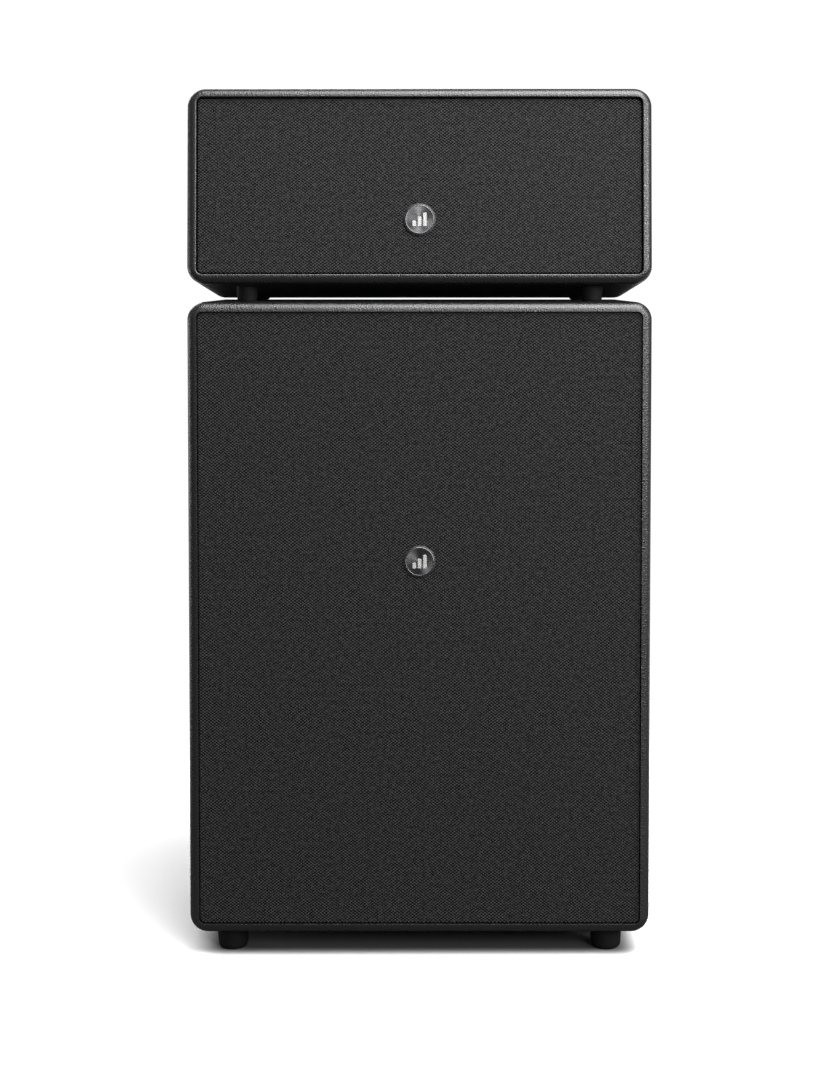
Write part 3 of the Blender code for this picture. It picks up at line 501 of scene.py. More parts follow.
def circuit_finish(rgb):
    """Glass-epoxy board under green solder mask: lighter copper tracks show through in square-cornered
    runs."""
    material, tree, shader = base_finish("glass_epoxy_board", rgb, 0.35)
    place = add(tree, "ShaderNodeTexCoord").outputs["Object"]
    runs = add(tree, "ShaderNodeTexBrick", {"Vector": place, "Scale": 90.0, "Mortar Size": 0.03,
                                            "Color1": (0, 0, 0, 1), "Color2": (0.3, 0.3, 0.3, 1),
                                            "Mortar": (1, 1, 1, 1)})
    vary_colour(tree, shader, rgb, runs.outputs["Fac"], 1.0, 1.9)
    return material


def winding(rgb, wires=300.0):
    """Enamelled copper wire wound round a ring: turns about 0.8 mm apart, wires of them in all, with painted
    shade in the grooves between the turns."""
    material, tree, shader = base_finish("enamelled_copper", rgb, 0.3, 1.0)
    low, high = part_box("sub_transformer")
    middle = (low + high) / 2
    place = add(tree, "ShaderNodeTexCoord").outputs["Object"]
    centred = add(tree, "ShaderNodeVectorMath", {0: place, 1: middle}, operation="SUBTRACT")
    parts = add(tree, "ShaderNodeSeparateXYZ", {0: centred.outputs[0]})
    angle = add(tree, "ShaderNodeMath", {0: parts.outputs[1], 1: parts.outputs[0]}, operation="ARCTAN2")
    phase = add(tree, "ShaderNodeMath", {0: angle.outputs[0], 1: wires}, operation="MULTIPLY")
    turns = add(tree, "ShaderNodeMath", {0: phase.outputs[0]}, operation="SINE")
    # painted shade: the colour drops to 0.7 times the copper's in the grooves between turns and rises to 1.1
    # times on their crowns
    vary_colour(tree, shader, rgb, turns.outputs[0], 0.7, 1.1)
    raise_surface(tree, shader, turns.outputs[0], 0.0002)
    return material


# Grained finishes: the material's name, the setting that holds its colour, and how its surface was made.
GRAINED = {
    # sandblasted and lacquered: a pale, even satin that stands out from the spun disc
    "emblem": ("satin_aluminium", "emblem", dict(roughness=0.42, grain=0.0004, depth=0.000004, metallic=0.3)),
    # moulded against spark-eroded steel: an even dull sheen
    "abs": ("moulded_abs", "plastic", dict(roughness=0.50, grain=0.0007, depth=0.00004)),
    # moulded and sprayed with a rubbery lacquer: flatter than bare plastic, and smooth
    "knob": ("soft_touch_abs", "plastic", dict(roughness=0.62, grain=0.0004, depth=0.00001)),
    # pressed from fibres and stained black: dry, with light and dark flecks
    "board": ("stained_fibreboard", "board",
              dict(roughness=0.78, grain=0.0012, depth=0.00008, darker=0.6, lighter=1.3)),
    # moulded soft rubber: nearly no shine
    "rubber": ("moulded_rubber", "rubber",
               dict(roughness=0.72, grain=0.0009, depth=0.00005, specular_ior_level=0.25)),
    # moulded thin and smooth: a soft sheen that runs round the roll
    "surround": ("butyl_rubber", "rubber", dict(roughness=0.48, grain=0.0005, depth=0.00001)),
    # pressed sheet under baked powder: a slight orange peel
    "steel": ("powder_coated_steel", "steel", dict(roughness=0.45, grain=0.0006, depth=0.00003)),
    # pressed and sintered powder: dark, dull and speckled
    "ferrite": ("sintered_ferrite", "ferrite",
                dict(roughness=0.62, grain=0.0003, depth=0.00002, metallic=0.1, darker=0.6, lighter=1.5)),
    # laid pulp, pressed and dyed: matte, with visible fibres
    "cone": ("pressed_paper_pulp", "cone",
             dict(roughness=0.68, grain=0.0011, depth=0.00009, darker=0.7, lighter=1.5)),
    # woven silk sealed with varnish: finer than the pulp, with a faint shine
    "silk": ("coated_silk", "cone",
             dict(roughness=0.55, grain=0.0003, depth=0.00002, darker=0.8, lighter=1.4)),
    # plated and dyed steel: small, smooth, dark highlights
    "zinc": ("black_zinc_plate", "screw", dict(roughness=0.35, grain=0.0004, depth=0.000005, metallic=1.0)),
    # bright plating on turned brass: clear, warm grey highlights
    "nickel": ("nickel_plate", "nickel", dict(roughness=0.24, grain=0.0006, depth=0.000004, metallic=1.0)),
    # moulded, coloured right through: plain and slightly waxy
    "red": ("red_polypropylene", "red", dict(roughness=0.45, grain=0.0005, depth=0.00001)),
    "white": ("white_polypropylene", "white", dict(roughness=0.45, grain=0.0005, depth=0.00001)),
    # a thick, flat layer of ink: matte, with crisp edges
    "print": ("screen_printed_ink", "white", dict(roughness=0.6, grain=0.0004, depth=0.000004)),
}
FINISHES = {}


def make_finish(name):
    """Makes a finish from the colours in the settings."""
    scene = bpy.context.scene
    case, cloth, trim = scene.hifi_case, scene.hifi_grille, scene.hifi_trim
    if name in GRAINED:
        title, key, surface = GRAINED[name]
        return grained(title, tuple(getattr(trim, key)), **surface)
    patterned = {
        "leatherette": lambda: leatherette(tuple(case.covering), case.pebble),
        "cloth": lambda: grille_cloth(tuple(cloth.dark), tuple(cloth.light), cloth.across, cloth.up),
        "spun": lambda: spun_metal(tuple(trim.badge)),
        "black_panel": lambda: brushed("black_anodised_aluminium", tuple(trim.panel), 0.42, 0),
        "fins": lambda: brushed("black_anodised_extrusion", tuple(trim.panel), 0.45, 2),
        "button": lambda: brushed("satin_anodised_aluminium", tuple(trim.button), 0.36, 0),
        "circuit": lambda: circuit_finish(tuple(trim.circuit)),
        "copper": lambda: winding(tuple(trim.copper)),
    }
    return patterned[name]()


def finish(name):
    """The finish of that name, made the first time that it is asked for."""
    if name not in FINISHES:
        FINISHES[name] = make_finish(name)
    return FINISHES[name]


# ---------------------------------------------------------------- settings


class HifiCase(bpy.types.PropertyGroup):
    """Sizes and colour of both covered cabinets."""

    corner: length("Corner radius", "Radius of the four long edges of each cabinet", 0.016)
    lip: length("Lip width", "Width of the front lip, seen from the front", 0.0086)
    lip_depth: length("Lip roundness", "How far back the lip curves into the sides", 0.0085)
    head_inner: length("Head inner edge", "Rounding of the inner edge of the head's lip", 0.0011)
    sub_inner: length("Bass inner edge", "Rounding of the inner edge of the bass cabinet's lip", 0.0001)
    back_edge: length("Back rounding", "Rounding of the back edge", 0.0042)
    recess_corner: length("Recess corner", "Corner radius of the opening inside the lip", 0.005)
    head_wall: length("Head wall", "Wall thickness of the head", 0.012)
    sub_wall: length("Bass wall", "Wall thickness of the bass cabinet", 0.015)
    pebble: length("Pebble size", "Width of one pebble of the covering's grain", 0.0022)
    covering: colour("Covering", "Colour of the leatherette", "#101011")


class HifiGrille(bpy.types.PropertyGroup):
    """Sizes and colours of both grilles and of the badges on them."""

    edge: length("Edge rounding", "Rounding where the cloth turns over the frame", 0.0011)
    head_skirt: length("Head skirt", "How far the cloth runs back over the head's frame", 0.0062)
    sub_skirt: length("Bass skirt", "How far the cloth runs back over the bass cabinet's frame", 0.0082)
    across: length("Weave across", "Repeat of the weave across the cloth", 0.003413)
    up: length("Weave up", "Repeat of the weave up the cloth", 0.002618)
    dark: colour("Cloth holes", "Colour between the threads", "#010101")
    light: colour("Cloth threads", "Colour on the crowns of the threads", "#343434")
    # the dark ring round each badge is a painted shadow
    seat: length("Badge seat", "Width of the dark ring round each badge", 0.0012)
    bar: length("Emblem bar", "Width of one bar of the emblem", 0.0031)
    bar_gap: length("Emblem gap", "Space between two bars", 0.0016)
    tall: length("Emblem height", "Height of the tallest bar", 0.0120)


class HifiTrim(bpy.types.PropertyGroup):
    """Colours of the smaller parts."""

    badge: colour("Badge", "Spun metal of the badges", "#5e5e60")
    emblem: colour("Emblem", "Raised emblem on the badges", "#a9a9a8")
    panel: colour("Panels", "Anodised plates and cooling fins", "#2c2c2e")
    button: colour("Buttons", "Push buttons on the head", "#4c4c4e")
    plastic: colour("Plastic", "Moulded black plastic", "#1e1e1f")
    board: colour("Board", "Stained fibreboard", "#1b1a19")
    rubber: colour("Rubber", "Feet and surrounds", "#0c0c0c")
    steel: colour("Steel", "Driver baskets", "#1f1f20")
    ferrite: colour("Ferrite", "Magnets", "#2f2f32")
    cone: colour("Cones", "Cones and domes", "#242425")
    screw: colour("Screws", "Plated screws", "#3a3a3c")
    nickel: colour("Nickel", "Sockets and pins", "#c9c5bd")
    red: colour("Red", "Right channel rings", "#a8201c")
    white: colour("White", "Left channel rings and print", "#d8d8d4")
    circuit: colour("Circuit board", "Solder mask", "#14532f")
    copper: colour("Copper", "Transformer winding", "#b5703c")
    screws: IntProperty(name="Screw facets", description="Facets round one screw head",
                        default=20, min=8, max=64)


class HifiStage(bpy.types.PropertyGroup):
    """Camera, floor and lights."""

    distance: length("Distance", "Camera to the front of the bass cabinet", 1.8)
    height: length("Camera height", "Camera above the floor", 0.6062)
    pitch: FloatProperty(name="Pitch", description="How far the camera looks down",
                         default=math.radians(2.707), subtype="ANGLE")
    lens: FloatProperty(name="Lens", description="Focal length in millimetres", default=68.9)
    shift: FloatProperty(name="Shift", description="Vertical shift of the lens", default=-0.150)
    # Floor is the painted shade of the floor ahead of the object, as the object sees it; behind, it is pale
    # grey
    floor: colour("Floor", "Colour of the floor as the object sees it", "#505050")
    exposure: FloatProperty(name="Floor exposure", description="Brightness of the lit floor near the object",
                            default=1.1)
    key: FloatProperty(name="Overhead light", description="Power of the overhead softbox in watts",
                       default=88.0)
    side: FloatProperty(name="Side light", description="Power of the softbox on the right in watts",
                        default=26.0)
    near: FloatProperty(name="Near light", description="Power of the softbox beside the camera in watts",
                        default=26.0)
    low: FloatProperty(name="Low light", description="Power of the low light on the right in watts",
                       default=3.6)
    strip: FloatProperty(name="Left light", description="Power of the strip light on the left in watts",
                         default=4.5)
    fill: FloatProperty(name="Front light", description="Power of the front softbox in watts",
                        default=4.0)
    rear: FloatProperty(name="Rear light", description="Power of the light behind in watts", default=30.0)
    ahead: FloatProperty(name="Surround ahead", description="Strength of the surround ahead of it",
                         default=0.30)
    behind: FloatProperty(name="Surround behind", description="Strength of the surround behind it",
                          default=0.20)


# ---------------------------------------------------------------- the cabinets


def lip_line(width, deep, inner, steps=12):
    """The front lip's (inset, depth) points. Outside, an ellipse: inset (width - inner)(1 - cos t) at a depth
    of deep (1 - sin t). Inside, a quarter circle: inset width - inner (1 - sin t) at a depth of inner (1 -
    cos t)."""
    t = np.linspace(0, math.pi / 2, steps + 1)
    outside = np.stack([(width - inner) * (1 - np.cos(t)), deep * (1 - np.sin(t))], -1)
    t = t[1::2]
    inside = np.stack([width - inner * (1 - np.sin(t)), inner * (1 - np.cos(t))], -1)
    return np.concatenate([outside, inside])


SHORT_OF_BACK = 0.0001  # the covering stops this far short of the CAD's back face
PLATE_GAP = 0.0003  # room round the control plate in its pocket
PLATE_CORNER = 0.0060
# Half width, half height and corner radius of the opening under the control plate
BUTTON_SLOT = (0.095, 0.012, 0.006)


def case_sections(case, cabinet, wall, inner, front_recess, back_recess):
    """The closed line round one wall, as (half width, half height, corner radius, depth): rounded front lip,
    front recess, inside wall, back recess and back edge. Insets shrink the rounded rectangle evenly."""
    w, d, h = cabinet["size"] - (0, SHORT_OF_BACK, 0)
    line = rounded(
        [(case.lip, inner), (case.lip, front_recess), (wall, front_recess), (wall, d - back_recess),
         (case.lip, d - back_recess), (case.lip, d), (0, d), (0, 2 * case.lip_depth), (0, case.lip_depth)],
        [0, 0.0004, 0.0004, 0.0004, 0.0004, 0.0015, case.back_edge, 0, 0],
        steps=8,
    )
    inset, depth = np.concatenate([lip_line(case.lip, case.lip_depth, inner), line[1:-1]]).T
    radius = np.interp(inset, [0, case.lip], [case.corner, case.recess_corner])
    return np.stack([w / 2 - inset, h / 2 - inset, radius, depth], -1)


def mark_pull(mesh, cabinet, deep):
    """Stores how tight the covering is pulled at each point: 1 down to a depth of deep, and 0 from twice
    that."""
    flat = np.empty(len(mesh.vertices) * 3)
    mesh.vertices.foreach_get("co", flat)
    depth = ((flat.reshape(-1, 3) - cabinet["origin"]) @ cabinet["axes"].T)[:, 1]
    pulled = mesh.attributes.new("pulled", "FLOAT", "POINT")
    pulled.data.foreach_set("value", np.clip(2 - depth / deep, 0, 1))


class HIFI_OT_cabinets(bpy.types.Operator):
    """Builds both leatherette-covered cabinets, with the pocket for the controls in the head's top"""

    bl_idname = "hifi.cabinets"
    bl_label = "Cabinets"

    def execute(self, context):
        case = context.scene.hifi_case
        for name, cabinet, wall, inner in (
            ("head", HEAD, case.head_wall, case.head_inner), ("sub", SUB, case.sub_wall, case.sub_inner),
        ):
            baffle, panel = box_in(cabinet, f"{name}_baffle"), box_in(cabinet, f"{name}_rear_panel")
            sections = case_sections(
                case, cabinet, wall, inner, baffle[0][1] - 0.0003, cabinet["size"][1] - panel[0][1] + 0.0002
            )
            shape = facing("front", loft(sections, steps=14, closed=True), (0, 0, cabinet["size"][2] / 2))
            mesh = mesh_of(f"{name}_case", [shape], cabinet)
            if name == "head":
                mesh = self.open_top(mesh)
            mark_pull(mesh, cabinet, case.lip_depth)
            add_piece(f"{name}_case", mesh, name, finish("leatherette"), [f"{name}_cabinet"])
        finish_node(finish("board"), "head_baffle", "sub_baffle", "sub_rear_panel", "sub_brace")
        return {"FINISHED"}

    def open_top(self, mesh):
        """Cuts the control plate's pocket and the opening below it into the head's top."""
        low, high = box_in(HEAD, "control_panel")
        middle, size = (low + high) / 2, high - low
        top = (middle[0], middle[1], high[2])
        pocket = (size[0] / 2 + PLATE_GAP, size[1] / 2 + PLATE_GAP, PLATE_CORNER + PLATE_GAP)
        for outline, bottom in ((pocket, size[2]), (BUTTON_SLOT, 0.03)):
            cutter = loft([(*outline, d) for d in (-0.01, bottom)], 8)
            mesh = carve(mesh, HEAD, [facing("up", cutter, top)])
        return mesh


# ---------------------------------------------------------------- the grilles and badges


def cloth_sections(low, high, edge, skirt, thickness=0.0007, corner=0.0042, inside_corner=0.0036):
    """Cloth over a frame, as (half width, half height, corner radius, depth): the face, whose edge is a
    quarter circle of radius edge, the skirt, and back up inside the skirt to the back of the face."""
    half_w, half_h = (high[0] - low[0]) / 2, (high[2] - low[2]) / 2
    front = low[1]
    outside = rounded([(half_w * 0.5, 0), (0, 0), (0, skirt)], [0, edge, 0], steps=6)
    rows = [(half_w - inset, half_h - inset, corner - min(inset, 0.002), front + depth)
            for inset, depth in outside[1:]]
    half_w, half_h = half_w - thickness, half_h - thickness
    return rows + [(half_w, half_h, inside_corner, front + depth) for depth in (skirt, thickness)]


class HIFI_OT_grilles(bpy.types.Operator):
    """Builds the cloth of both grilles and finishes their frames"""

    bl_idname = "hifi.grilles"
    bl_label = "Grilles"

    def execute(self, context):
        settings = context.scene.hifi_grille
        for name, cabinet, skirt in (("head", HEAD, settings.head_skirt), ("sub", SUB, settings.sub_skirt)):
            low, high = box_in(cabinet, f"{name}_grille_cloth")
            shape = facing("front", loft(cloth_sections(low, high, settings.edge, skirt), 6),
                           (0, 0, (low[2] + high[2]) / 2))
            mesh = mesh_of(f"{name}_cloth", [shape], cabinet, weave_map)
            cloth = add_piece(f"{name}_cloth", mesh, f"{name}_grille", finish("cloth"),
                              [f"{name}_grille_cloth"])
        finish_node(finish("abs"), "head_grille_frame", "sub_grille_frame")
        return {"FINISHED"}


BADGE_RIM = 0.0012  # width of the raised rim of a badge
BADGE_STAND = 0.0002  # how far the disc stays short of the CAD badge's face, which the emblem reaches


class HIFI_OT_badges(bpy.types.Operator):
    """Builds both round badges: a spun disc in a dark ring that is a painted shadow, with three rising bars
    """

    bl_idname = "hifi.badges"
    bl_label = "Badges"

    def execute(self, context):
        settings = context.scene.hifi_grille
        for name, cabinet in (("head", HEAD), ("sub", SUB)):
            body = f"{name}_grille"
            low, high = box_in(cabinet, f"{name}_badge")
            centre = ((low[0] + high[0]) / 2, high[1], (low[2] + high[2]) / 2)
            radius, thick = (high[0] - low[0]) / 2, high[1] - low[1] - BADGE_STAND
            face = rounded(
                [(0, thick - 0.0006), (radius - BADGE_RIM, thick - 0.0002), (radius - BADGE_RIM / 2, thick),
                 (radius, thick - 0.0004), (radius, 0), (0, 0)],
                [0, 0.0004, 0.0006, 0.0003, 0, 0], steps=4,
            )
            rows = np.concatenate([np.linspace(face[0], face[1], 12)[:-1], face[1:]])
            disc = facing("front", turned(rows, 96), centre)
            add_piece(f"{name}_badge_disc", mesh_of("disc", [disc], cabinet), body, finish("spun"),
                      [f"{name}_badge"], even=False)
            # painted shadow: a dark ring round the disc stands where the badge's shadow falls on the cloth
            inside, outside = radius + 0.0001, radius + settings.seat
            seat = rounded(
                [(inside, 0), (inside, 0.0010), (outside, 0.0006), (outside, 0)],
                [0, 0.0002, 0.0003, 0], steps=3, closed=True,
            )
            ring = facing("front", turned(seat, 96, closed=True), centre)
            add_piece(f"{name}_badge_seat", mesh_of("seat", [ring], cabinet), body, finish("abs"), ())
            step = settings.bar + settings.bar_gap
            bars = []
            for number, share in enumerate((0.42, 0.71, 1.0)):
                tall = settings.tall * share
                bar = plate(settings.bar, tall, 0.0005, -thick - BADGE_STAND, -thick + 0.0008, 0.00015)
                bar = moved(bar, (number - 1) * step, (tall - settings.tall) / 2)
                bars.append(facing("front", bar, centre))
            add_piece(f"{name}_badge_emblem", mesh_of("emblem", bars, cabinet), body, finish("emblem"), ())
        return {"FINISHED"}


# ---------------------------------------------------------------- the drivers


def screw_heads(places, radius, facets, stand):
    """Round heads with a cross recess: height = stand * sqrt(1 - 0.75 (r / R)^2), less 0.7 stand where a
    point lies within 0.16 R of an arm's middle and 0.62 R of the centre. Each head is turned by a different
    angle."""
    r = np.concatenate([np.linspace(0, 1, 8), [1.0, 0.0]])[:, None]
    t = np.linspace(0, 2 * math.pi, facets * 2, endpoint=False)[None, :]
    a, b = radius * r * np.cos(t), radius * r * np.sin(t)
    arm, reach = 0.16 * radius, 0.62 * radius
    near = np.minimum(np.abs(a), np.abs(b))
    deep = (near < arm) & (np.maximum(np.abs(a), np.abs(b)) < reach)
    height = stand * np.sqrt(1 - 0.75 * r**2) - np.where(deep, 0.7 * stand, 0.0)
    height[-2:] = -0.0004
    shape = grid(np.stack([a, b, -height], -1), wrap_columns=True)
    return [moved(shape, x, z, 0.0, 0.7 * number) for number, (x, z) in enumerate(places)]


def add_screws(name, cabinet, body, side, centre, places, radius, stand, proud=0.0):
    """Adds a group of equal screws on one side of a cabinet as one piece, its heads proud of centre's
    plane."""
    facets = bpy.context.scene.hifi_trim.screws
    heads = screw_heads(places, radius, facets, stand)
    heads = [facing(side, moved(head, d=-proud), centre) for head in heads]
    add_piece(name, mesh_of("screws", heads, cabinet), body, finish("zinc"), ())


def ring_places(radius, count):
    """Places on a circle: (radius cos t, radius sin t), with t in even steps from 45 degrees."""
    t = np.radians(45.0 + np.arange(count) * 360 / count)
    return list(zip(radius * np.cos(t), radius * np.sin(t)))


def roll(outer, inner, landing, crest, thick, steps=14):
    """The surround's section: a half-round roll from the outer landing down to the cone's rim, as a closed
    line. Radius follows a cosine and height a sine over the same half turn."""
    share = np.linspace(0, 1, steps + 1)
    radius = (outer[0] + inner[0]) / 2 + (outer[0] - inner[0]) / 2 * np.cos(math.pi * share)
    height = outer[1] + (inner[1] - outer[1]) * share + crest * np.sin(math.pi * share)
    top = np.stack([radius, height], -1)
    under = np.stack([radius - 0.15 * thick, height - thick], -1)[1:-1]
    ends = [(outer[0] + landing, outer[1]), (outer[0] + landing, outer[1] - thick)]
    foot = inner[0] - landing / 2
    return np.concatenate([top[::-1], ends, under, [(foot, inner[1] - thick), (foot, inner[1])]])


def dust_cap(radius, top, rim, foot):
    """A dust cap's section: the dome rim + (top - rim)(1 - (r / radius)^2), then its edge and a flat
    underside."""
    r = np.linspace(0, radius, 18)
    dome = np.stack([r, rim + (top - rim) * (1 - (r / radius) ** 2)], -1)
    return np.concatenate([dome, [(radius, rim - 0.0010), (0.64 * radius, foot), (0, foot)]])


def build_driver(cabinet, body, cone_body, prefix, sizes):
    """One cone driver: trim ring with screws, surround between basket and cone, cone and dust cap. sizes
    holds (radius, height) points measured from the baffle's face."""
    low, high = box_in(cabinet, f"{prefix}_magnet")
    baffle = box_in(cabinet, f"{body}_baffle")[0][1]
    centre = np.array([(low[0] + high[0]) / 2, baffle, (low[2] + high[2]) / 2])
    rim, edge, inside, wall = sizes["rim"], sizes["edge"], sizes["roll_out"] + 0.0002, 0.0012
    trim = rounded(
        [(inside, sizes["landing_top"] + 0.0003), (inside, rim + 0.0004), (edge, rim),
         (edge, 0.0003), (edge - wall, 0.0003), (edge - wall, rim - 0.0006)],
        [0, 0.0008, 0.0009, 0.0002, 0.0002, 0.0], steps=4, closed=True,
    )
    ring = facing("front", turned(trim, 96, closed=True), centre)
    add_piece(f"{prefix}_trim", mesh_of("trim", [ring], cabinet), body, finish("steel"), ())
    places = ring_places(edge - sizes["screw"] - wall, sizes["screws"])
    add_screws(f"{prefix}_screws", cabinet, body, "front", centre, places, sizes["screw"], 0.0007,
               rim + 0.0001)

    line = rounded(sizes["cone"], sizes["cone_rounding"], steps=5)
    cone = facing("front", turned(line, 96), centre)
    add_piece(f"{prefix}_cone_skin", mesh_of("cone", [cone], cabinet), cone_body, finish("cone"),
              [f"{prefix}_cone"])
    cap = dust_cap(*sizes["cap"])
    add_piece(f"{prefix}_dust_cap", mesh_of("cap", [facing("front", turned(cap, 72), centre)], cabinet),
              cone_body, finish("silk"), ())

    section = roll(*sizes["roll"])
    mesh = mesh_of("surround", [facing("front", turned(section, 96, closed=True), centre)], cabinet)
    surround = bpy.data.objects.new(f"{prefix}_surround_roll", mesh)
    bpy.context.scene.collection.objects.link(surround)
    mesh.materials.append(finish("surround"))
    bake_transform(surround)
    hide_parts(f"{prefix}_surround")


# Sizes of a driver, in metres out from the baffle's face. rim is the trim ring's face, roll_out its inner
# radius and edge its outer one, and roll holds the surround's outer and inner (radius, height), its landing,
# crest and thickness. stretch gives the heights between which the surround follows the cone. cap is a dust
# cap's radius, top, rim and foot.
WOOFER = {
    "rim": 0.0032, "landing_top": 0.0025, "roll_out": 0.0537, "edge": 0.0592, "screw": 0.0016, "screws": 4,
    "roll": ((0.0500, 0.0025), (0.0430, -0.0026), 0.0037, 0.0045, 0.0010),
    "stretch": (0.0020, -0.0030),
    "cone": [(0.0186, -0.0228), (0.0300, -0.0128), (0.0410, -0.0042), (0.0436, -0.0040), (0.0436, -0.0052),
             (0.0412, -0.0055), (0.0128, -0.0268), (0.0126, -0.0500), (0.0118, -0.0500), (0.0118, -0.0235),
             (0.0186, -0.0228)],
    "cone_rounding": [0, 0.06, 0.0012, 0.0004, 0.0004, 0.0012, 0.001, 0, 0, 0.0, 0],
    "cap": (0.0190, -0.0132, -0.0214, -0.0226),
}
BASS = {
    "rim": 0.0042, "landing_top": 0.0035, "roll_out": 0.0980, "edge": 0.1063, "screw": 0.0024, "screws": 8,
    "roll": ((0.0915, 0.0035), (0.0792, -0.0042), 0.0065, 0.0085, 0.0014),
    "stretch": (0.0030, -0.0050),
    "cone": [(0.0370, -0.0342), (0.0560, -0.0208), (0.0770, -0.0062), (0.0806, -0.0060), (0.0806, -0.0078),
             (0.0774, -0.0082), (0.0256, -0.0470), (0.0254, -0.0840), (0.0244, -0.0840), (0.0244, -0.0420),
             (0.0370, -0.0342)],
    "cone_rounding": [0, 0.1, 0.0018, 0.0006, 0.0006, 0.0018, 0.001, 0, 0, 0.0, 0],
    "cap": (0.0376, -0.0215, -0.0342, -0.0400),
}


class HIFI_OT_drivers(bpy.types.Operator):
    """Builds the cones, surrounds, domes and faceplates behind both grilles"""

    bl_idname = "hifi.drivers"
    bl_label = "Drivers"

    def execute(self, context):
        for side in ("left", "right"):
            build_driver(HEAD, "head", f"woofer_{side}", f"woofer_{side}", WOOFER)
        build_driver(SUB, "sub", "sub_cone", "sub_driver", BASS)
        self.tweeters()
        finish_node(finish("steel"), "woofer_left_basket", "woofer_right_basket", "sub_driver_basket")
        finish_node(finish("ferrite"), "woofer_left_magnet", "woofer_right_magnet", "sub_driver_magnet")
        return {"FINISHED"}

    def tweeters(self):
        """Two faceplates with a domed diaphragm each, an arc of R cos t outwards and R sin t - 0.0136
        forwards."""
        baffle = box_in(HEAD, "head_baffle")[0][1]
        for side in ("left", "right"):
            low, high = box_in(HEAD, f"tweeter_{side}_body")
            centre = ((low[0] + high[0]) / 2, baffle, (low[2] + high[2]) / 2)
            face = rounded(
                [(0, -0.0040), (0.0146, -0.0040), (0.0146, 0.0012), (0.0172, 0.0030), (0.0260, 0.0033),
                 (0.0260, 0.0003), (0.0182, 0.0003), (0.0182, -0.0220), (0, -0.0220)],
                [0, 0.0002, 0.0006, 0.003, 0.0008, 0, 0, 0.001, 0], steps=6,
            )
            add_piece(f"tweeter_{side}_face",
                      mesh_of("face", [facing("front", turned(face, 80), centre)], HEAD),
                      "head", finish("abs"), [f"tweeter_{side}_body"])
            t = np.radians(np.linspace(90, 47, 16))
            dome, under = (np.stack([r * np.cos(t), -0.0136 + r * np.sin(t)], -1) for r in (0.0190, 0.0183))
            rim = [(0.0138, 0.0006), (0.0141, 0.0003), (0.0141, -0.0003), (0.0128, -0.0006)]
            line = np.concatenate([dome, rim, under[::-1]])
            add_piece(f"tweeter_{side}_silk",
                      mesh_of("silk", [facing("front", turned(line, 64), centre)], HEAD),
                      f"tweeter_{side}", finish("silk"), [f"tweeter_{side}_dome"])
            places = ring_places(0.0222, 4)
            add_screws(f"tweeter_{side}_screws", HEAD, "head", "front", centre, places, 0.0014, 0.0006,
                       0.0031)


# ---------------------------------------------------------------- the controls on the head's top


BUTTON_HOLE = 0.0054  # radius of a hole for a button in the control plate
BUTTON = 0.0050  # radius of a button above the plate
# Places of one to four dots on a button, in steps of 0.9 mm
DOTS = {
    1: [(0, 0)],
    2: [(-1, 0), (1, 0)],
    3: [(-1, -0.8), (1, -0.8), (0, 0.9)],
    4: [(-1, -1), (1, -1), (-1, 1), (1, 1)],
}


def button_marks(name, top):
    """The plain sign on a button: a broken ring with a stem, a ring round a dot, a minus, a plus, or one to
    four dots."""
    low, high = -top - 0.00005, -top + 0.0003

    def dab(width, height, corner, steps=3):
        return plate(width, height, corner, low, high, 0.00004, steps)

    if name == "power":
        stem = moved(dab(0.0006, 0.0018, 0.0002), 0, 0.0011)
        return [arc_band(0.0015, 0.0005, 125, 415, low, high), stem]
    if name == "source":
        return [arc_band(0.0016, 0.0005, 0, 360, low, high), moved(dab(0.0012, 0.0012, 0.0005, 6))]
    bar = dab(0.0030, 0.0006, 0.0002)
    if name == "volume_down":
        return [bar]
    if name == "volume_up":
        half = dab(0.0006, 0.0012, 0.0001)
        return [bar, moved(half, 0, 0.0009), moved(half, 0, -0.0009)]
    dot = dab(0.0008, 0.0008, 0.0004, 5)
    return [moved(dot, 0.0009 * x, 0.0009 * y) for x, y in DOTS[int(name[-1])]]


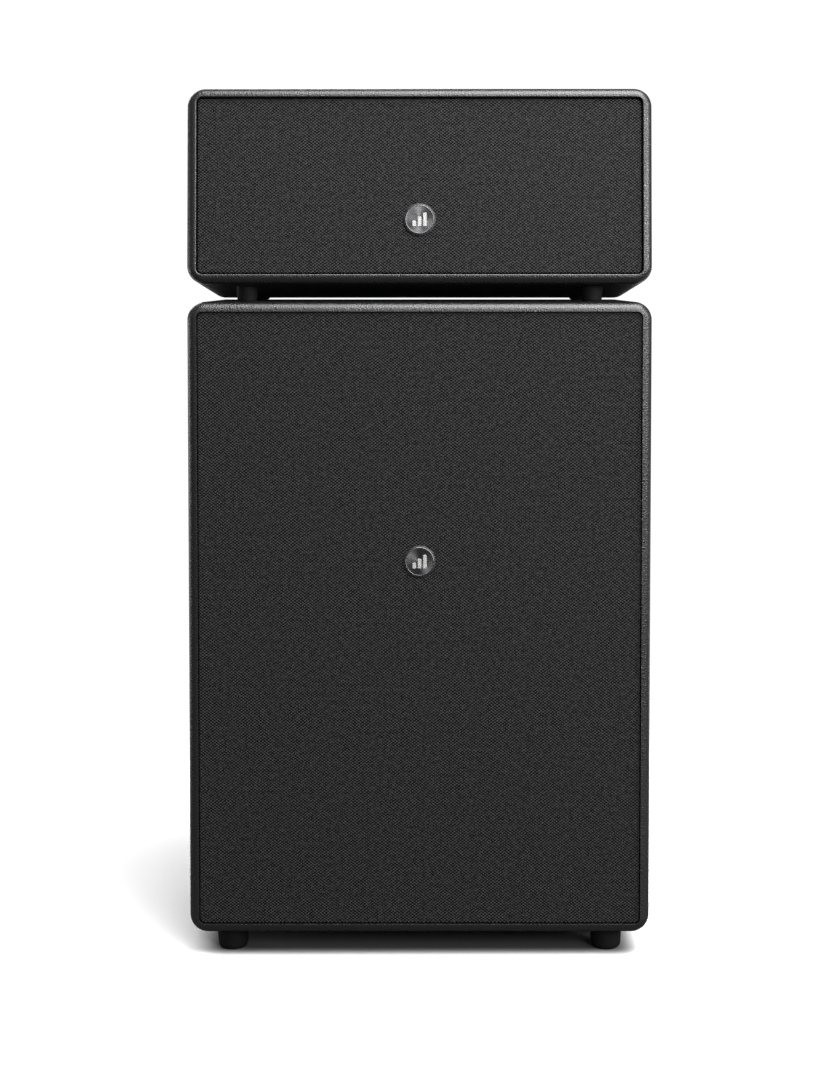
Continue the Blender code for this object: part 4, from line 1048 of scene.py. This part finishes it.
class HIFI_OT_controls(bpy.types.Operator):
    """Builds the plate let into the head's top and its eight push buttons"""

    bl_idname = "hifi.controls"
    bl_label = "Controls"

    def execute(self, context):
        low, high = box_in(HEAD, "control_panel")
        middle, size = (low + high) / 2, high - low
        top = (middle[0], middle[1], high[2])
        strip = plate(size[0], size[1], PLATE_CORNER, 0.0, size[2], 0.0003, 10)
        mesh = mesh_of("strip", [facing("up", strip, top)], HEAD)
        edge = BUTTON_HOLE + 0.0002
        hole = turned([(0, 0.01), (edge, 0.01), (edge, 0.0), (BUTTON_HOLE, -0.0003), (BUTTON_HOLE, -0.01),
                       (0, -0.01)], 48)
        holes = []
        for name in BUTTONS:
            b_low, b_high = box_in(HEAD, f"button_{name}")
            across = (b_low[0] + b_high[0]) / 2 - middle[0]
            holes.append(facing("up", moved(hole, across), top))
        mesh = carve(mesh, HEAD, holes)
        add_piece("control_strip", mesh, "head", finish("black_panel"), ["control_panel"])
        self.buttons(middle[1], high[2])
        return {"FINISHED"}

    def buttons(self, middle_y, face):
        """Eight turned caps, dished on top and with a flange under the plate, each with its printed sign."""
        flange = BUTTON + 0.0012
        for name in BUTTONS:
            b_low, b_high = box_in(HEAD, f"button_{name}")
            proud = b_high[2] - face
            deep = b_low[2] - face
            centre = ((b_low[0] + b_high[0]) / 2, middle_y, face)
            line = rounded(
                [(0, proud - 0.00035), (BUTTON - 0.0014, proud - 0.0002), (BUTTON - 0.0006, proud),
                 (BUTTON, proud - 0.0003), (BUTTON, -0.0024), (flange, -0.0024), (flange, deep), (0, deep)],
                [0, 0.002, 0.0006, 0.0004, 0.0001, 0.0001, 0.0002, 0], steps=4,
            )
            add_piece(f"{name}_cap", mesh_of("cap", [facing("up", turned(line, 64), centre)], HEAD),
                      f"button_{name}", finish("button"), [f"button_{name}"])
            marks = [facing("up", m, centre) for m in button_marks(name, proud - 0.00030)]
            add_piece(f"{name}_mark", mesh_of("mark", marks, HEAD), f"button_{name}", finish("print"), ())


# ---------------------------------------------------------------- ports, sockets and panels at the back


def port_line(outer, inner, wall, deep, lip=0.0022, proud=0.0020, flare_deep=0.016):
    """A flared port: flange edge, lip, a quarter-ellipse flare into the bore, and back along the tube. The
    flare's radius is mouth - (mouth - inner) cos t at a height of proud - flare_deep (1 - sin t)."""
    t = np.linspace(math.pi / 2, 0, 12)
    mouth = outer - lip
    flare = np.stack([mouth - (mouth - inner) * np.cos(t), proud - flare_deep * (1 - np.sin(t))], -1)
    start = [(outer, 0.0003), (outer, 0.0010), (outer - 0.0010, proud)]
    end = [(inner, -deep), (inner + wall, -deep), (inner + wall, 0.0003)]
    return np.concatenate([start, flare, end])


def socket_shapes(places, radius):
    """Line sockets: a plated barrel with a rolled rim round a dark hole, one a place."""
    barrel = rounded([(0.0017, -0.001), (0.0017, 0.0080), (radius, 0.0080), (radius, 0.0), (radius, -0.001)],
                     [0, 0.0003, 0.0006, 0, 0], steps=4, closed=True)
    return [moved(turned(barrel, 40, closed=True), a, b) for a, b in places]


def collar(inner, outer, low, high, edge):
    """The coloured ring round a line socket: a flat ring between two heights, with its outer edge rounded."""
    line = rounded([(inner, low), (inner, high), (outer, high), (outer, low)], [0, 0.0002, edge, 0], steps=3,
                   closed=True)
    return turned(line, 40, closed=True)


def panel_places(low, high, inset):
    """Half the width and half the height of a panel's ring of screws, which lies inset from its edge."""
    return (high[0] - low[0]) / 2 - inset, (high[2] - low[2]) / 2 - inset


# Places on the head's socket plate, seen from behind. Its well lies WELL deep.
WELL = 0.0065
FIRST_SOCKET, SOCKET_STEP = 0.004, 0.018
INLET = 0.038
PLATE_SCREWS = [(x, z) for x in (-0.053, 0.053) for z in (-0.023, 0.023)]


class HIFI_OT_head_back(bpy.types.Operator):
    """Finishes the back of the head: panel, screws, port and sockets"""

    bl_idname = "hifi.head_back"
    bl_label = "Back of the head"

    def execute(self, context):
        low, high = box_in(HEAD, "head_rear_panel")
        half_w, half_h = panel_places(low, high, 0.008)
        face = (0, high[1], (low[2] + high[2]) / 2)
        places = [(x, z) for x in (-half_w, -half_w / 3, half_w / 3, half_w) for z in (-half_h, half_h)]
        places += [(x, 0) for x in (-half_w, half_w)]
        add_screws("head_back_screws", HEAD, "head", "back", face, places, 0.0032, 0.0014)

        p_low, p_high = box_in(HEAD, "head_port_tube")
        centre = ((p_low[0] + p_high[0]) / 2, high[1], (p_low[2] + p_high[2]) / 2)
        line = port_line((p_high[0] - p_low[0]) / 2, 0.020, 0.002, 0.095)
        add_piece("head_port", mesh_of("port", [facing("back", turned(line, 96, closed=True), centre)], HEAD),
                  "head", finish("abs"), ["head_port_tube"])

        self.socket_plate()
        finish_node(finish("abs"), "head_rear_panel", "head_terminal_plate")
        return {"FINISHED"}

    def socket_plate(self):
        """Three line sockets with their rings, the two pins of the mains inlet, and four screws."""
        low, high = box_in(HEAD, "head_terminal_plate")
        middle = (low + high) / 2
        well = (middle[0], high[1] - WELL, middle[2])
        across = [FIRST_SOCKET - SOCKET_STEP * n for n in range(3)]
        sockets = [facing("back", s, well) for s in socket_shapes([(a, 0) for a in across], 0.0043)]
        add_piece("head_sockets", mesh_of("sockets", sockets, HEAD), "head", finish("nickel"), ())
        for a, title, key in zip(across, ("left", "right", "bass"), ("white", "red", "knob")):
            ring = moved(collar(0.0044, 0.0058, 0.0, 0.0026, 0.0005), a)
            ring = facing("back", ring, (middle[0], high[1] - WELL + 0.0002, middle[2]))
            add_piece(f"head_socket_ring_{title}", mesh_of("ring", [ring], HEAD), "head", finish(key), ())
        pin = loft([(0.0007, 0.0007, 0.0006, 0.0110), (0.0011, 0.0011, 0.0010, 0.0100),
                    (0.0011, 0.0011, 0.0010, 0.0)], 5)
        pins = [facing("back", moved(pin, INLET + a, 0.0, 0.0030), well) for a in (-0.0043, 0.0043)]
        add_piece("head_mains_pins", mesh_of("pins", pins, HEAD), "head", finish("nickel"), ())
        face = (middle[0], high[1], middle[2])
        add_screws("head_plate_screws", HEAD, "head", "back", face, PLATE_SCREWS, 0.0024, 0.0010)


def fin_outline(width, base, tall, count, thick):
    """The outline of a finned extrusion: a base with count fins that taper by a fifth towards rounded
    tips."""
    pitch = (width - thick) / (count - 1)
    centre = -width / 2 + thick / 2 + pitch * np.arange(count)[:, None]
    foot, tip = thick / 2, thick * 0.4
    a = centre + np.array([-foot, -tip, -tip * 0.5, tip * 0.5, tip, foot])[None, :]
    b = np.broadcast_to(np.array([base, tall - 0.0004, tall, tall, tall - 0.0004, base]), a.shape)
    teeth = np.stack([a, b], -1).reshape(-1, 2)
    return np.concatenate([[(-width / 2, 0)], teeth, [(width / 2, 0)]])


# Sections of a mains inlet's cup and of one blade in it, as (half width, half height, corner radius, depth)
INLET_CUP = [
    (0.0140, 0.0105, 0.0020, 0.0020), (0.0236, 0.0126, 0.0020, 0.0020), (0.0240, 0.0130, 0.0025, 0.0016),
    (0.0240, 0.0130, 0.0025, 0.0004), (0.0236, 0.0126, 0.0022, 0.0), (0.0126, 0.0086, 0.0034, 0.0),
    (0.01225, 0.00825, 0.0030, 0.0004), (0.01225, 0.00825, 0.0030, 0.0165),
]
BLADE = [(0.0010, 0.0020, 0.0004, 0.0180), (0.0010, 0.0020, 0.0004, 0.0062), (0.0006, 0.0015, 0.0003, 0.0052)]
BLADE_PLACES = ((-0.007, -0.002), (0, 0.002), (0.007, -0.002))
# Places of the two line sockets on the amplifier plate, seen from behind and measured from its middle
LINE_SOCKETS = {"right": (-0.0475, -0.0450), "left": (-0.0475, -0.0250)}
# The power rocker from the side, level, with its hollow face first, and how far it is tipped at rest
ROCKER = [
    (0.0070, 0.0095), (0.0050, 0.0), (0.0070, -0.0095), (-0.0015, -0.0088), (-0.0040, 0), (-0.0015, 0.0088),
]
ROCKED = math.radians(8)
# Closed sections of the frames round the rocker and round the phase switch
ROCKER_BEZEL = [
    (0.0080, 0.0130, 0.0012, 0.0004), (0.0080, 0.0130, 0.0012, -0.0012), (0.0076, 0.0126, 0.0010, -0.0016),
    (0.0066, 0.0114, 0.0004, -0.0016), (0.0063, 0.0111, 0.0003, -0.0012), (0.0063, 0.0111, 0.0003, 0.0004),
]
PHASE_BEZEL = [
    (0.0070, 0.0042, 0.0008, 0.0003), (0.0070, 0.0042, 0.0008, -0.0006),
    (0.0052, 0.0027, 0.0003, -0.0006), (0.0052, 0.0027, 0.0003, 0.0003),
]
# The phase switch's tab from above: three ridges across its face, TAB_TALL high
TAB_TALL = 0.0066
PHASE_TAB = [
    (-0.0020, 0.0), (-0.0020, 0.0060), (-0.0012, TAB_TALL), (-0.0006, 0.0060), (0, TAB_TALL),
    (0.0006, 0.0060), (0.0012, TAB_TALL), (0.0020, 0.0060), (0.0020, 0.0),
]
# The knob's profile of (radius, height) and the roundness of its corners
KNOB = [
    (0, 0.0094), (0.0070, 0.0096), (0.0076, 0.0100), (0.0093, 0.0100), (0.0099, 0.0092), (0.0107, 0.0010),
    (0.0030, 0.0010), (0.0030, -0.0070), (0, -0.0070),
]
KNOB_ROUNDING = [0, 0.0006, 0.0005, 0.0006, 0.0008, 0.0003, 0, 0.0004, 0]
RIDGES = 36
DIAL = 0.0140  # radius of the ring of ticks round a knob
INK = (-0.00008, 0.0005)  # depths between which a printed mark lies: 0.08 mm proud of the plate


class HIFI_OT_sub_back(bpy.types.Operator):
    """Finishes the back of the bass cabinet: panel, port, amplifier plate, fins, knobs, switches and inlet"""

    bl_idname = "hifi.sub_back"
    bl_label = "Back of the bass cabinet"

    def execute(self, context):
        low, high = box_in(SUB, "sub_rear_panel")
        half_w, half_h = panel_places(low, high, 0.010)
        places = [(x, z) for x in (-half_w, half_w) for z in np.linspace(-half_h, half_h, 5)]
        places += [(x, z) for x in (-half_w / 3, half_w / 3) for z in (-half_h, half_h)]
        face = (0, high[1], (low[2] + high[2]) / 2)
        add_screws("sub_back_screws", SUB, "sub", "back", face, places, 0.0040, 0.0016)

        p_low, p_high = box_in(SUB, "sub_port_tube")
        line = port_line((p_high[0] - p_low[0]) / 2, 0.034, 0.003, 0.115)
        centre = ((p_low[0] + p_high[0]) / 2, high[1], (p_low[2] + p_high[2]) / 2)
        add_piece("sub_port", mesh_of("port", [facing("back", turned(line, 120, closed=True), centre)], SUB),
                  "sub", finish("abs"), ["sub_port_tube"])
        self.amplifier()
        marks = [*self.knobs(), *self.switches()]
        add_piece("amplifier_marks", mesh_of("marks", marks, SUB), "sub", finish("print"), ())
        return {"FINISHED"}

    def amplifier(self):
        """The amplifier plate's screws, cooling fins, mains inlet and line sockets."""
        low, high = box_in(SUB, "sub_amplifier_plate")
        face = (0, high[1], (low[2] + high[2]) / 2)
        half_w, half_h = panel_places(low, high, 0.0055)
        places = [(x, z) for x in (-half_w, half_w) for z in (-half_h, -half_h / 3, half_h / 3, half_h)]
        places += [(0, -half_h), (0, half_h)]
        add_screws("amplifier_screws", SUB, "sub", "back", face, places, 0.0026, 0.0010)
        finish_node(finish("black_panel"), "sub_amplifier_plate")

        s_low, s_high = box_in(SUB, "sub_heat_sink")
        size = s_high - s_low
        outline = fin_outline(size[0], 0.0022, size[1], 21, 0.0019)
        fins = facing("upright", extruded(outline, -size[2] / 2, size[2] / 2),
                      (0, s_low[1], (s_low[2] + s_high[2]) / 2))
        add_piece("cooling_fins", mesh_of("fins", [fins], SUB), "sub", finish("fins"), ["sub_heat_sink"],
                  even=False)

        i_low, i_high = box_in(SUB, "sub_mains_inlet")
        mouth = ((i_low[0] + i_high[0]) / 2, i_high[1], (i_low[2] + i_high[2]) / 2)
        cup = loft([(*INLET_CUP[0][:3], i_high[1] - i_low[1]), *INLET_CUP], 8)
        add_piece("mains_inlet", mesh_of("inlet", [facing("back", cup, mouth)], SUB), "sub", finish("abs"),
                  ["sub_mains_inlet"])
        blades = [facing("back", moved(loft(BLADE, 3), a, b), mouth) for a, b in BLADE_PLACES]
        add_piece("mains_blades", mesh_of("blades", blades, SUB), "sub", finish("nickel"), ())

        sockets = [facing("back", s, face) for s in socket_shapes(LINE_SOCKETS.values(), 0.0042)]
        add_piece("line_sockets", mesh_of("sockets", sockets, SUB), "sub", finish("nickel"), ())
        for (title, place), key in zip(LINE_SOCKETS.items(), ("red", "white")):
            ring = facing("back", moved(collar(0.0043, 0.0060, -0.0005, 0.0030, 0.0006), *place), face)
            add_piece(f"line_socket_ring_{title}", mesh_of("ring", [ring], SUB), "sub", finish(key), ())

    def knobs(self):
        """Two knobs, ridged by scaling the grip's radius by 1 - 0.011 (1 + cos 36 t), each with a pointer.
        Returns the ticks round them."""
        plate_y = box_in(SUB, "sub_amplifier_plate")[1][1]
        line = rounded(KNOB, KNOB_ROUNDING, steps=4)
        grip = (line[:, 0] > 0.0094) & (line[:, 1] > 0.0008) & (line[:, 1] < 0.0095)

        def ridge(t, row):
            return 1 - 0.022 * grip[row] * (0.5 + 0.5 * np.cos(RIDGES * t))

        knurled = turned(line, 144, ripple=ridge)
        pointer = moved(plate(0.0009, 0.0052, 0.0003, -0.01035, -0.0090, 0.0001, 3), 0, 0.0062)
        tick = plate(0.0005, 0.0020, 0.0001, *INK, 0.00004, 2)
        marks = []
        for name, body in (("sub_level_knob", "sub_level"), ("sub_crossover_knob", "sub_crossover")):
            low, high = box_in(SUB, name)
            centre = ((low[0] + high[0]) / 2, plate_y, (low[2] + high[2]) / 2)
            add_piece(f"{name}_cap", mesh_of("knob", [facing("back", knurled, centre)], SUB), body,
                      finish("knob"), [name])
            add_piece(f"{name}_pointer", mesh_of("pointer", [facing("back", pointer, centre)], SUB), body,
                      finish("print"), ())
            for turn in np.radians(np.linspace(-135, 135, 11)):
                place = moved(tick, -DIAL * math.sin(turn), DIAL * math.cos(turn), 0.0, turn)
                marks.append(facing("back", place, centre))
        return marks

    def switches(self):
        """The power rocker, tipped by 8 degrees, and the ridged phase switch, each in its bezel. Returns the
        marks beside the phase switch."""
        plate_y = box_in(SUB, "sub_amplifier_plate")[1][1]
        pivot = (np.array(joint_of("sub_power_rock")["pos_m"]) - SUB["origin"]) @ SUB["axes"].T
        outline = rounded(ROCKER, [0.0008, 0.012, 0.0008, 0.0005, 0.002, 0.0005], steps=6, closed=True)
        turn = np.array([[math.cos(ROCKED), math.sin(ROCKED)], [-math.sin(ROCKED), math.cos(ROCKED)]])
        side = extruded(outline @ turn, -0.0058, 0.0058)
        mesh = mesh_of("rocker", [facing("side", side, pivot)], SUB)
        rocker = add_piece("power_rocker", mesh, "sub_power", finish("knob"), ["sub_power_switch"])
        soft = rocker.modifiers.new("soft edges", "BEVEL")
        soft.width = 0.0004
        soft.segments = 2
        soft.limit_method = "ANGLE"
        soft.angle_limit = math.radians(50)
        rocker.modifiers.move(1, 0)
        bezel = facing("back", loft(ROCKER_BEZEL, 4, closed=True), (pivot[0], plate_y, pivot[2]))
        add_piece("rocker_bezel", mesh_of("bezel", [bezel], SUB), "sub", finish("abs"), ())

        low, high = box_in(SUB, "sub_phase_switch")
        middle = (low + high) / 2
        outline = rounded(PHASE_TAB, [0, 0.0003, *[0.0002] * 5, 0.0003, 0], steps=2, closed=True)
        tab = facing("upright", extruded(outline, -0.0020, 0.0020),
                     (middle[0], high[1] - TAB_TALL, middle[2]))
        add_piece("phase_tab", mesh_of("tab", [tab], SUB), "sub_phase", finish("knob"), ["sub_phase_switch"])
        spot = (0, plate_y, middle[2])
        bezel = facing("back", loft(PHASE_BEZEL, 3, closed=True), spot)
        add_piece("phase_bezel", mesh_of("bezel", [bezel], SUB), "sub", finish("abs"), ())
        dash = plate(0.0022, 0.0005, 0.0001, *INK, 0.00004, 2)
        ring = arc_band(0.0011, 0.0004, 0, 360, *INK, 16)
        return [facing("back", moved(dash, 0.0105, 0), spot), facing("back", moved(ring, -0.0105, 0), spot)]


# ---------------------------------------------------------------- the feet and what is inside


def tilted_top(points, low_z, top, slope, clearance):
    """Moves each point up in proportion, so that the foot's top lies clearance under the plane top + slope *
    y."""
    out = points.copy()
    share = (points[:, 2] - low_z) / (points[:, 2].max() - low_z)
    out[:, 2] = low_z + share * (top + slope * points[:, 1] - clearance - low_z)
    return out


# A foot's profile of (radius, height) with the roundness of its corners. Heights of the head's feet are
# shares.
SUB_FOOT = [
    (0, 0.0217), (0.0147, 0.0217), (0.0133, 0.0042), (0.0125, 0.0015), (0.0105, 0.0), (0.0090, 0.0008),
    (0, 0.0008),
]
SUB_FOOT_ROUNDING = [0, 0.0004, 0.004, 0.002, 0.0012, 0.0004, 0]
HEAD_FOOT = [(0, 1.0), (0.0098, 1.0), (0.0090, 0.16), (0.0080, 0.0), (0, 0.0)]
HEAD_FOOT_ROUNDING = [0, 0.0, 0.0005, 0.0008, 0]
WORLD = {"axes": np.eye(3), "origin": np.zeros(3)}


class HIFI_OT_feet(bpy.types.Operator):
    """Builds the eight rubber feet. The tops of the head's four follow its leaning underside"""

    bl_idname = "hifi.feet"
    bl_label = "Feet"

    def execute(self, context):
        for end in ("front", "rear"):
            for side in ("left", "right"):
                for body, make in (("sub", self.sub_foot), ("head", self.head_foot)):
                    name = f"{body}_foot_{end}_{side}"
                    low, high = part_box(name)
                    centre = ((low.x + high.x) / 2, (low.y + high.y) / 2, low.z)
                    mesh = mesh_of("foot", [make(centre, high.z - low.z)], WORLD)
                    add_piece(f"{name}_rubber", mesh, body, finish("rubber"), [name])
        return {"FINISHED"}

    def sub_foot(self, centre, tall):
        return facing("up", turned(rounded(SUB_FOOT, SUB_FOOT_ROUNDING, steps=5), 72), centre)

    def head_foot(self, centre, tall):
        line = rounded(HEAD_FOOT, HEAD_FOOT_ROUNDING, steps=4)
        line[:, 1] *= tall
        points, *rest = facing("up", turned(line, 64), centre)
        slope = HEAD["axes"][1][2] / HEAD["axes"][1][1]
        under = HEAD["origin"][2] - slope * HEAD["origin"][1]
        return tilted_top(points, centre[2], under, slope, 0.0003), *rest


class HIFI_OT_inside(bpy.types.Operator):
    """Finishes the parts inside the cabinets"""

    bl_idname = "hifi.inside"
    bl_label = "Inside"

    def execute(self, context):
        finish_node(finish("circuit"), "head_circuit_board", "sub_circuit_board")
        finish_node(finish("copper"), "sub_transformer")
        finish_node(finish("button"), "head_power_supply")
        return {"FINISHED"}


# ---------------------------------------------------------------- the stage


def soft_light(name, place, target, size, power):
    """A softbox: a white rectangle of light at place, turned towards target."""
    light = bpy.data.lights.new(name, "AREA")
    light.shape = "RECTANGLE"
    light.size, light.size_y = size
    light.energy = power
    obj = bpy.data.objects.new(name, light)
    bpy.context.scene.collection.objects.link(obj)
    obj.location = place
    obj.rotation_euler = (Vector(target) - Vector(place)).to_track_quat("-Z", "Y").to_euler()


FLOOR = 30.0  # half the side of the floor, so that its edge is never seen
UNDER_FEET = 0.0002  # how far the floor lies under the soles


class HIFI_OT_stage(bpy.types.Operator):
    """Sets up the floor, the studio light and the camera"""

    bl_idname = "hifi.stage"
    bl_label = "Stage"

    def execute(self, context):
        stage = context.scene.hifi_stage
        context.scene.view_settings.view_transform = "Standard"
        context.scene.view_settings.look = "None"

        mesh = bpy.data.meshes.new("floor")
        corners = [(x * FLOOR, y * FLOOR, 0) for x, y in ((-1, -1), (1, -1), (1, 1), (-1, 1))]
        mesh.from_pydata(corners, [], [(0, 1, 2, 3)])
        floor = bpy.data.objects.new("floor", mesh)
        context.scene.collection.objects.link(floor)
        floor.location.z = -UNDER_FEET
        # the floor carries a painted shadow under the cabinet's footprint and painted shade ahead of it
        paper = paper_sweep(tuple(stage.floor), stage.exposure, painted_shadow_size=(0.172, 0.078, 0.0), near=0.45,
                            far=1.1)
        mesh.materials.append(paper)

        front = SUB["origin"][1]
        soft_light("overhead softbox", (0.52, front - 0.65, 2.0), (0.25, front, 0.5), (1.5, 1.6), stage.key)
        soft_light("right softbox", (1.99, front - 0.93, 1.05), (0, front, 0.75), (0.8, 0.6), stage.side)
        soft_light("near softbox", (0.97, front - 2.08, 1.0), (0, front, 0.75), (0.8, 0.6), stage.near)
        soft_light("right lower light", (1.85, front - 1.0, 0.62), (0, front, 0.5), (1.2, 0.7), stage.low)
        soft_light("left strip", (-1.9, front + 0.75, 0.42), (0, front, 0.42), (0.9, 0.45), stage.strip)
        soft_light("front softbox", (-0.6, front - 2.6, 1.3), (0, 0, 0.4), (1.6, 1.2), stage.fill)
        soft_light("rear light", (-0.8, 1.9, 1.6), (0, 0, 0.4), (1.6, 1.2), stage.rear)
        context.scene.world = studio_surround(stage.ahead, stage.behind)

        camera = bpy.data.objects.new("camera", bpy.data.cameras.new("camera"))
        context.scene.collection.objects.link(camera)
        camera.location = (0.0004, front - stage.distance, stage.height)
        camera.rotation_euler = (math.pi / 2 - stage.pitch, 0, 0)
        camera.data.lens = stage.lens
        camera.data.sensor_width = 36.0
        camera.data.shift_y = stage.shift
        context.scene.camera = camera
        return {"FINISHED"}


def paper_sweep(rgb, exposure, painted_shadow_size, near, far, edge=0.035):
    """Matte white paper, lit so brightly that only the deeper shadows show, and evenly white from far on. It
    carries a painted shadow under the object: its colour is painted dark over the given half width and half
    depth, and reaches its full brightness edge beyond. What the object sees of it is painted darker ahead
    than at the back: painted shade that stands in for black flags keeping the floor's light off the front."""
    material, tree, shader = base_finish("matte_paper", rgb, 0.9, specular_ior_level=0.1)
    place = add(tree, "ShaderNodeTexCoord").outputs["Object"]
    reach = add(tree, "ShaderNodeVectorMath", {0: place}, operation="LENGTH")
    open_floor = add(
        tree, "ShaderNodeMapRange", {"Value": reach.outputs["Value"], "From Min": near, "From Max": far},
        interpolation_type="SMOOTHSTEP",
    )
    sides = add(tree, "ShaderNodeVectorMath", {0: place}, operation="ABSOLUTE")
    beyond = add(tree, "ShaderNodeVectorMath", {0: sides.outputs[0], 1: painted_shadow_size}, operation="SUBTRACT")
    clear = add(tree, "ShaderNodeVectorMath", {0: beyond.outputs[0], 1: (0, 0, 0)}, operation="MAXIMUM")
    gap = add(tree, "ShaderNodeVectorMath", {0: clear.outputs[0]}, operation="LENGTH")
    # painted shadow: the paper's colour falls to a tenth of exposure under the cabinet's footprint
    lit = add(
        tree, "ShaderNodeMapRange",
        {"Value": gap.outputs["Value"], "From Min": 0.0, "From Max": edge, "To Min": 0.10 * exposure,
         "To Max": exposure},
        interpolation_type="SMOOTHSTEP",
    )
    bright = add(tree, "ShaderNodeBsdfDiffuse", {"Color": lit.outputs[0]})
    white = add(tree, "ShaderNodeEmission", {"Strength": 1.05})
    seen = add(tree, "ShaderNodeMixShader",
               {0: open_floor.outputs[0], 1: bright.outputs[0], 2: white.outputs[0]})

    parts = add(tree, "ShaderNodeSeparateXYZ", {0: place})
    # painted shade: the floor that the object sees gets the dark floor colour ahead and pale grey behind
    flag = add(tree, "ShaderNodeMapRange", {"Value": parts.outputs[1], "From Min": 0.2, "From Max": 0.7},
               interpolation_type="SMOOTHSTEP")
    paper = (0.8, 0.8, 0.8, 1.0)
    painted_flag_shade = add(tree, "ShaderNodeMix", {0: flag.outputs[0], 6: (*rgb, 1.0), 7: paper}, data_type="RGBA")
    tree.links.new(painted_flag_shade.outputs[2], shader.inputs["Base Color"])

    ray = add(tree, "ShaderNodeLightPath")
    output = next(n for n in tree.nodes if n.type == "OUTPUT_MATERIAL")
    mix = add(tree, "ShaderNodeMixShader",
              {0: ray.outputs["Is Camera Ray"], 1: shader.outputs[0], 2: seen.outputs[0]})
    tree.links.new(mix.outputs[0], output.inputs["Surface"])
    return material


def studio_surround(ahead, behind):
    """A white surround that gives more light from ahead of the object than from behind it."""
    world = bpy.data.worlds.new("studio")
    world.use_nodes = True
    tree = world.node_tree
    for node in list(tree.nodes):
        tree.nodes.remove(node)
    direction = add(tree, "ShaderNodeTexCoord").outputs["Generated"]
    parts = add(tree, "ShaderNodeSeparateXYZ", {0: direction})
    depth = add(
        tree, "ShaderNodeMapRange",
        {"Value": parts.outputs[1], "From Min": 0.1, "From Max": 0.75, "To Min": ahead, "To Max": behind},
        interpolation_type="SMOOTHSTEP",
    )
    light = add(tree, "ShaderNodeBackground", {"Color": (1, 1, 1, 1), "Strength": depth.outputs[0]})
    seen = add(tree, "ShaderNodeBackground", {"Color": (1, 1, 1, 1), "Strength": 1.1})
    ray = add(tree, "ShaderNodeLightPath")
    mix = add(tree, "ShaderNodeMixShader",
              {0: ray.outputs["Is Camera Ray"], 1: light.outputs[0], 2: seen.outputs[0]})
    add(tree, "ShaderNodeOutputWorld", {"Surface": mix.outputs[0]})
    return world


# ---------------------------------------------------------------- the add-on


GROUPS = {"hifi_case": HifiCase, "hifi_grille": HifiGrille, "hifi_trim": HifiTrim, "hifi_stage": HifiStage}
OPERATORS = (
    HIFI_OT_stage, HIFI_OT_cabinets, HIFI_OT_grilles, HIFI_OT_badges, HIFI_OT_drivers, HIFI_OT_controls,
    HIFI_OT_head_back, HIFI_OT_sub_back, HIFI_OT_feet, HIFI_OT_inside,
)


class HIFI_PT_sidebar(bpy.types.Panel):
    """Lists the settings and the steps that build the hifi system"""

    bl_idname = "HIFI_PT_sidebar"
    bl_label = "Mini hifi system"
    bl_space_type = "VIEW_3D"
    bl_region_type = "UI"
    bl_category = "Hifi"

    def draw(self, context):
        for name, group in GROUPS.items():
            box = self.layout.box()
            box.label(text=group.__doc__)
            for key in group.__annotations__:
                box.prop(getattr(context.scene, name), key)
        for operator in OPERATORS:
            self.layout.operator(operator.bl_idname)


def register():
    for name, group in GROUPS.items():
        bpy.utils.register_class(group)
        setattr(bpy.types.Scene, name, PointerProperty(type=group))
    for item in (*OPERATORS, HIFI_PT_sidebar):
        bpy.utils.register_class(item)


def unregister():
    for item in reversed((*OPERATORS, HIFI_PT_sidebar)):
        bpy.utils.unregister_class(item)
    for name, group in reversed(list(GROUPS.items())):
        delattr(bpy.types.Scene, name)
        bpy.utils.unregister_class(group)


def main():
    register()
    for operator in OPERATORS:
        group, name = operator.bl_idname.split(".")
        getattr(getattr(bpy.ops, group), name)()


if __name__ == "__main__":
    main()
